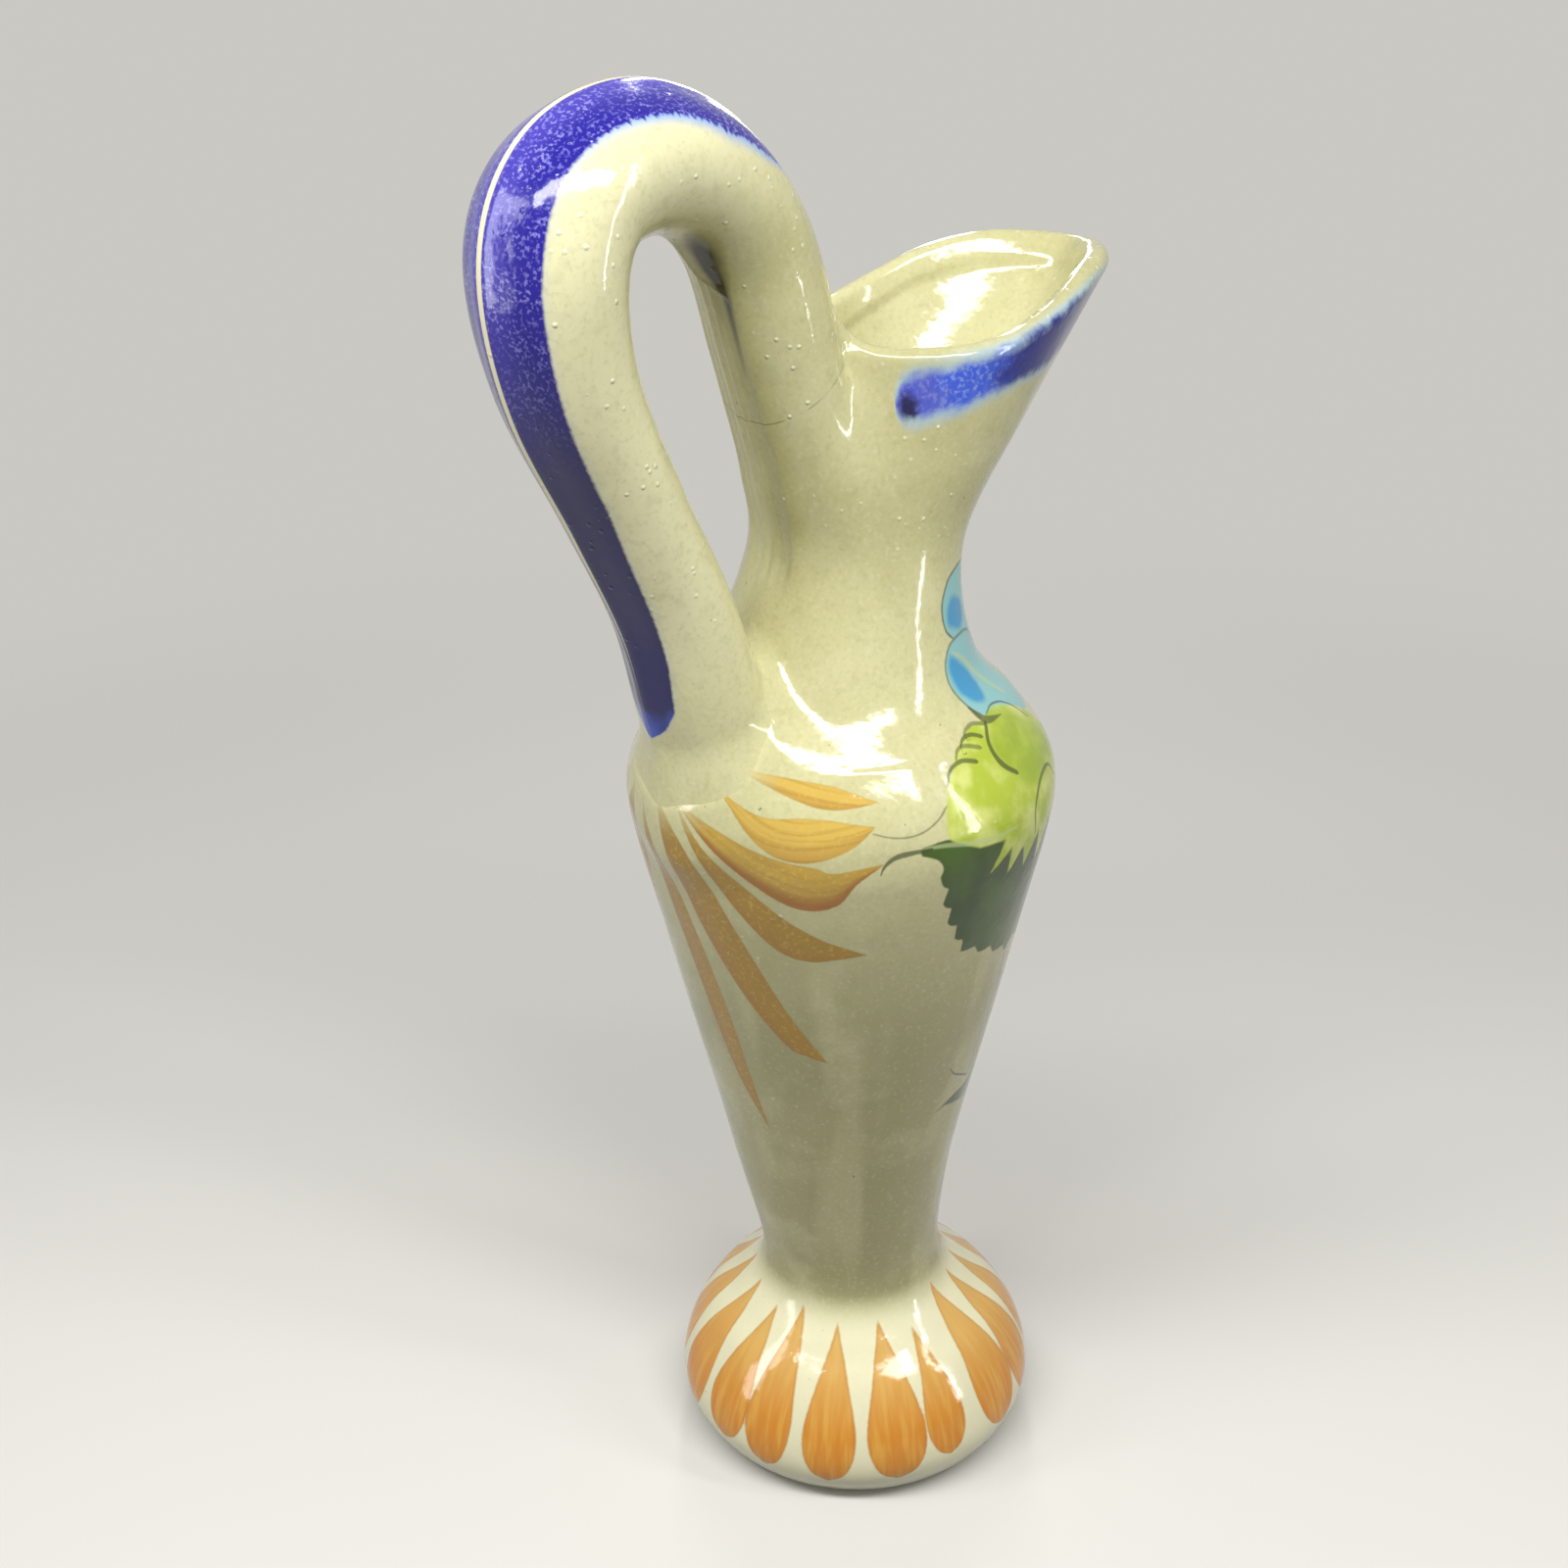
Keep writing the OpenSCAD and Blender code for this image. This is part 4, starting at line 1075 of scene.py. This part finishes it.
# %% Orange petals and ochre leaves
mark = streaks(at["petal_offset"], at["petal_along"], 1.5, 12.0)
orange = laid(linear("#d68400"), [("#e2a51e", (mark, 0.42, 0.70, 0.7)), ("#d9b060", (height, 0.015, 0.035, 0.85)),
                                  ("#a65c08", (at["petal_edge"], 0.8, 0.1, 0.3))])
thin_marks = node(STEP, [mark, 0.3, 0.75, 1.0, 0.93])
petal_cover = node(MATH, [cover(at["petal_edge"], 0.3, 0.15), thin_marks], operation="MULTIPLY")
colour = laid(colour, [(orange, petal_cover)])
for name in ("leaf_a", "leaf_b"):
    way, offset = at[name + "_along"], at[name + "_offset"]
    mark = streaks(offset, way, 0.9, 35.0)
    # The lower side of a leaf is browner, most of all on the third leaf
    half = node(MATH, [at[name + "_half"], 0.5], operation="MAXIMUM")
    lower_side = node(MATH, [offset, half], operation="DIVIDE")
    from_third = node(MATH, [way, 2.35 * LEAF_START], operation="SUBTRACT")
    from_third = node(MATH, [from_third], operation="ABSOLUTE")
    belly = node(MATH, [node(STEP, [lower_side, -0.1, -0.8], interpolation_type=SOFT),
                        node(STEP, [from_third, 60.0, 40.0, 0.25, 0.8])], operation="MULTIPLY")
    ochre = laid(linear("#d2ae4c"), [
        ("#a87f08", (way, 1.1 * LEAF_START, 3.6 * LEAF_START, 1)), ("#a87c22", (mark, 0.42, 0.68, 0.50)),
        ("#dcb95c", (grain[0.9], 0.50, 0.72, 0.4)), ("#9a5400", belly),
        ("#7d5a10", (within(name), 0.5, 0.0, 0.18))])
    from_base = node(MATH, [way, LEAF_START], operation="MODULO")
    thin_base = node(STEP, [from_base, 0.0, 8.0, 0.2, 0.95], interpolation_type=SOFT)
    leaf_cover = node(MATH, [cover(within(name), 0.22), thin_base], operation="MULTIPLY")
    colour = laid(colour, [(ochre, leaf_cover)])
print("petals and leaves:", len(tree.nodes), "nodes")

# %% The spray
LINER = "#3d4720"
cloud = (grain[6], 0.38, 0.66, 1)
blue = laid(linear("#86c0c2"), [("#2793c6", cover(at["deep_edge"], 0.9, 0.6, 3))])
wash = laid(linear("#adc02a"), [("#d3da76", cloud)])
lobe = laid(linear("#93ab06"), [("#adc02a", cloud)])
bloom = laid(wash, [(lobe, cover(at["lobe_edge"], 1.5, 1.5, 3))])
green = laid(linear("#1f3f00"), [("#3a5c08", (grain[14], 0.4, 0.7, 1))])
for paint, edge, softness, amount in [
        (blue, at["blue_edge"], 0.4, 0.95), (green, at["sprig_edge"], 0.22, 0.97),
        (bloom, at["bloom_edge"], 0.35, 0.93), ("#b9c78e", within("fold"), 0.25, 0.6),
        (LINER, within("line_a"), 0.18, 0.75), (LINER, within("line_b"), 0.18, 0.6),
        (LINER, within("line_c"), 0.18, 0.8)]:
    amount = node(MATH, [cover(edge, softness, 0.06), amount], operation="MULTIPLY")
    colour = laid(colour, [(paint, amount)])
print("spray laid:", len(tree.nodes), "nodes")

# %% [markdown]
# ## Cobalt
# Cobalt is the strongest of the old pottery colours. A thick coat is nearly black, a thin one bright
# blue, and at its edges it bleeds into the glaze as a pale halo. Where the coat boiled in the fire it
# is full of fine pale specks.

# %% Cobalt on the rim
run_down = streaks(at["rim_along"], at["rim_down"], 1.7, 7.0)
rim_way = node(MATH, [grain[6], 26.0, at["rim_along"]], operation="MULTIPLY_ADD")
# One dark blot, with its middle about 101 columns from the spout and 12 mm below the crest
blot_place = node(COMBINE, [node(MATH, [at["rim_along"], 0.75, -75.6], operation="MULTIPLY_ADD"),
                            node(MATH, [at["rim_down"], 0.7, -8.4], operation="MULTIPLY_ADD")])
from_blot = node(VECTOR, [blot_place], "Value", operation="LENGTH")
blot = node(MATH, [grain[1.6], 2.5, from_blot], operation="MULTIPLY_ADD")
rim_blue = laid(linear("#3a5ad2"), [
    ("#7d9ae2", (run_down, 0.46, 0.72, 0.2)), ("#93a8e0", (grain[0.9], 0.47, 0.66, 0.6)),
    ("#6059b4", (rim_way, 101.0, 110.0, 0.5)), ("#12127a", (rim_way, 93.0, 76.0, 0.95)),
    ("#15103f", (blot, 4.6, 2.2, 0.95))])
wander = node(MATH, [run_down, 0.8, -2.2], operation="MULTIPLY_ADD")
wander = node(MATH, [grain[3], 3.0, wander], operation="MULTIPLY_ADD")
rim_soft = node(MATH, [at["rim_edge"], wander], operation="ADD")
colour = laid(colour, [("#9cc2dc", (at["rim_edge"], -2.8, 0.6, 0.7)), (rim_blue, cover(rim_soft, 1.3, 0.4))])
print("rim laid:", len(tree.nodes), "nodes")

# %% Cobalt on the handle
feather = streaks(handle_way, at["cobalt_across"], 0.05, 5.0)
upper_half = node(STEP, [handle_way, 4.3, 6.2], interpolation_type=SOFT)
off_middle = node(MATH, [at["cobalt_across"]], operation="ABSOLUTE")
near_tip = node(MATH, [grain[6], 0.5, handle_way], operation="MULTIPLY_ADD")
# Painted sheen: the upper band laid paler towards its middle, as a reflection along the ridge
painted_sheen = node(STEP, [off_middle, 7.5, 2.0, 0, 0.45], interpolation_type=SOFT)
specks = both((grain[0.65], 0.50, 0.66, 0, 0.62), (grain[6], 0.33, 0.60, 0.35, 1.0))
painted_sheen, specks = (node(MATH, [part, upper_half], operation="MULTIPLY") for part in (painted_sheen, specks))
deep = laid(linear("#0a0856"), [("#1d128e", upper_half), ("#3558cc", (near_tip, 2.62, 2.35, 0.75)),
                                ("#5a50c0", painted_sheen), ("#a19ee6", specks)])
bleed = node(MATH, [node(STEP, [at["cobalt_edge"], -1.5, 0.6], interpolation_type=SOFT),
                    node(STEP, [handle_way, 6.2, 7.8, 0.15, 0.85])], operation="MULTIPLY")
feather = node(MATH, [feather, -0.62], operation="ADD")
wide_edge = node(MATH, [node(STEP, [handle_way, 6.5, 7.8, 0, 2.6]), feather, at["cobalt_edge"]],
                 operation="MULTIPLY_ADD")
ridge = node(MATH, [at["ridge_half"], off_middle], operation="SUBTRACT")
colour = laid(colour, [("#6f9fe6", bleed), (deep, cover(wide_edge, 0.3, 0.2)),
                       ("#ece6c2", (ridge, -0.15, 0.2, 1))])
tree.links.new(colour, shader.inputs["Base Color"])
print("cobalt laid:", len(tree.nodes), "nodes")

# %% [markdown]
# ## Gloss, ripples and pimples
# A fired glaze is glass: index about 1.52 and a roughness near a tenth. It is never flat. It keeps a
# slow ripple from the brush that flooded it on, upright furrows from the hand that drew up the wall, a
# fine tooth from the clay below, and pimples where bubbles froze. The bump node takes their heights
# in millimetres.

# %% Gloss and relief
GLASS_IOR = 1.52
shader.inputs["IOR"].default_value = GLASS_IOR
gloss = node(STEP, [grain[3], 0.3, 0.7, 0.07, 0.14])
tree.links.new(gloss, shader.inputs["Roughness"])
relief = node(MATH, [pimple, 0.17], operation="MULTIPLY")
for pattern, depth in [(furrow, 0.5), (grain[14], 0.2), (grain[6], 0.09), (grain[3], 0.03), (grain[0.9], 0.006)]:
    relief = node(MATH, [pattern, depth, relief], operation="MULTIPLY_ADD")
bump = node("ShaderNodeBump", {"Height": relief, "Strength": 1.0, "Distance": 1 / MM}, "Normal")
tree.links.new(bump, shader.inputs["Normal"])
for piece in (foot, body, neck, handle_piece):
    piece.data.materials.append(material)
print("glaze:", len(tree.nodes), "nodes")

# %% [markdown]
# ## A pale floor
# The pitcher stands on a plain pale sweep of card. Near the pot it is a matt surface that takes the
# shadow. Far off, where no lamp reaches, the card shows its own colour to the camera. Light that
# bounces from it is held low, so that it doesn't flood the underside of the pot.

# %% Floor of pale card
floor_mesh = bpy.data.meshes.new("floor")
floor_mesh.from_pydata([(-8, -8, 0), (8, -8, 0), (8, 8, 0), (-8, 8, 0)], [], [(0, 1, 2, 3)])
floor = bpy.data.objects.new("floor", floor_mesh)
bpy.context.scene.collection.objects.link(floor)
card = bpy.data.materials.new("pale_card")
card.use_nodes = True
tree = card.node_tree
tree.nodes.remove(tree.nodes["Principled BSDF"])
CARD, CARD_LIGHT = linear("#e4e2dc"), 0.76


def looked_at():
    """One on a ray from the camera, or by way of a glossy or clear surface, and nought on soft bounced light."""
    rays = node("ShaderNodeLightPath", {}, "Is Camera Ray").node.outputs
    either = node(MATH, [rays["Is Camera Ray"], rays["Is Glossy Ray"]], operation="ADD")
    return node(MATH, [either, rays["Is Transmission Ray"]], operation="ADD", use_clamp=True)


seen = looked_at()
matt = node("ShaderNodeBsdfDiffuse", {"Color": laid(linear("#7c7b78"), [(CARD, seen)])})
shown = node("ShaderNodeEmission", {"Color": CARD, "Strength": CARD_LIGHT})
way_off = node(VECTOR, [node("ShaderNodeTexCoord", {}, "Object")], "Value", operation="LENGTH")
far_off = node(MATH, [node(STEP, [way_off, 0.12, 0.65], interpolation_type=SOFT), seen], operation="MULTIPLY")
sweep = node("ShaderNodeMixShader", [far_off, matt, shown])
tree.links.new(sweep, tree.nodes["Material Output"].inputs["Surface"])
floor_mesh.materials.append(card)
print("floor:", len(tree.nodes), "nodes")

# %% [markdown]
# ## Studio light
# Long thin softboxes suit glazed ware: they light it softly and leave slim bright lines that show
# how the surface turns. The main one hangs above the camera, close to the pot, so that what faces up
# is light and the lower wall falls into half shade. Upright ones stand left, right and behind.

# %% Lamps and world
LAMP_AIM, ROOM_LIGHT = Vector((0, 0, 0.16)), 0.13
for name, where, wide, tall, power in [
        ("front_strip", (-0.23, -0.22, 0.64), 0.90, 0.10, 4.8),
        ("left_strip", (-0.62, 0.25, 0.36), 0.12, 0.60, 1.3),
        ("right_strip", (0.30, -0.62, 0.36), 0.04, 0.60, 1.4),
        ("back_strip", (0.45, 0.50, 0.50), 0.05, 0.60, 1.2)]:
    softbox = bpy.data.lights.new(name, "AREA")
    softbox.shape, softbox.size, softbox.size_y, softbox.energy = "RECTANGLE", wide, tall, power
    lamp = bpy.data.objects.new(name, softbox)
    lamp.location = where
    lamp.rotation_euler = (LAMP_AIM - lamp.location).to_track_quat("-Z", "Y").to_euler()
    bpy.context.scene.collection.objects.link(lamp)
world = bpy.data.worlds.new("studio")
bpy.context.scene.world = world
world.use_nodes = True
tree = world.node_tree
room = node("ShaderNodeBackground", {"Color": (1, 1, 1, 1), "Strength": ROOM_LIGHT})
backdrop = node("ShaderNodeBackground", {"Color": CARD, "Strength": CARD_LIGHT})
sky = node("ShaderNodeMixShader", [looked_at(), room, backdrop])
tree.links.new(sky, tree.nodes["World Output"].inputs["Surface"])
print("lamps:", len(bpy.data.lights))

# %% [markdown]
# ## The camera
# The picture was taken from close by, above the shoulder and behind the handle, with the camera a
# little rolled. Place, aim and roll were found by matching the outline of the model with it.

# %% Camera
CAMERA_PLACE, CAMERA_AIM = Vector((-233.6, -259.4, 322.6)), Vector((-8.5, 7.2, 154.7))
CAMERA_ROLL = 1.142
camera = bpy.data.objects.new("camera", bpy.data.cameras.new("camera"))
camera.data.sensor_width, camera.data.lens = 36, 45
camera.rotation_mode = "QUATERNION"
camera.location = CAMERA_PLACE / MM
camera.rotation_quaternion = ((CAMERA_AIM - CAMERA_PLACE).to_track_quat("-Z", "Y")
                              @ Quaternion((0, 0, 1), -np.radians(CAMERA_ROLL)))
bpy.context.scene.collection.objects.link(camera)
bpy.context.scene.camera = camera
bpy.context.scene.view_settings.view_transform = "Standard"
print("camera", CAMERA_PLACE.length, "mm from the origin")
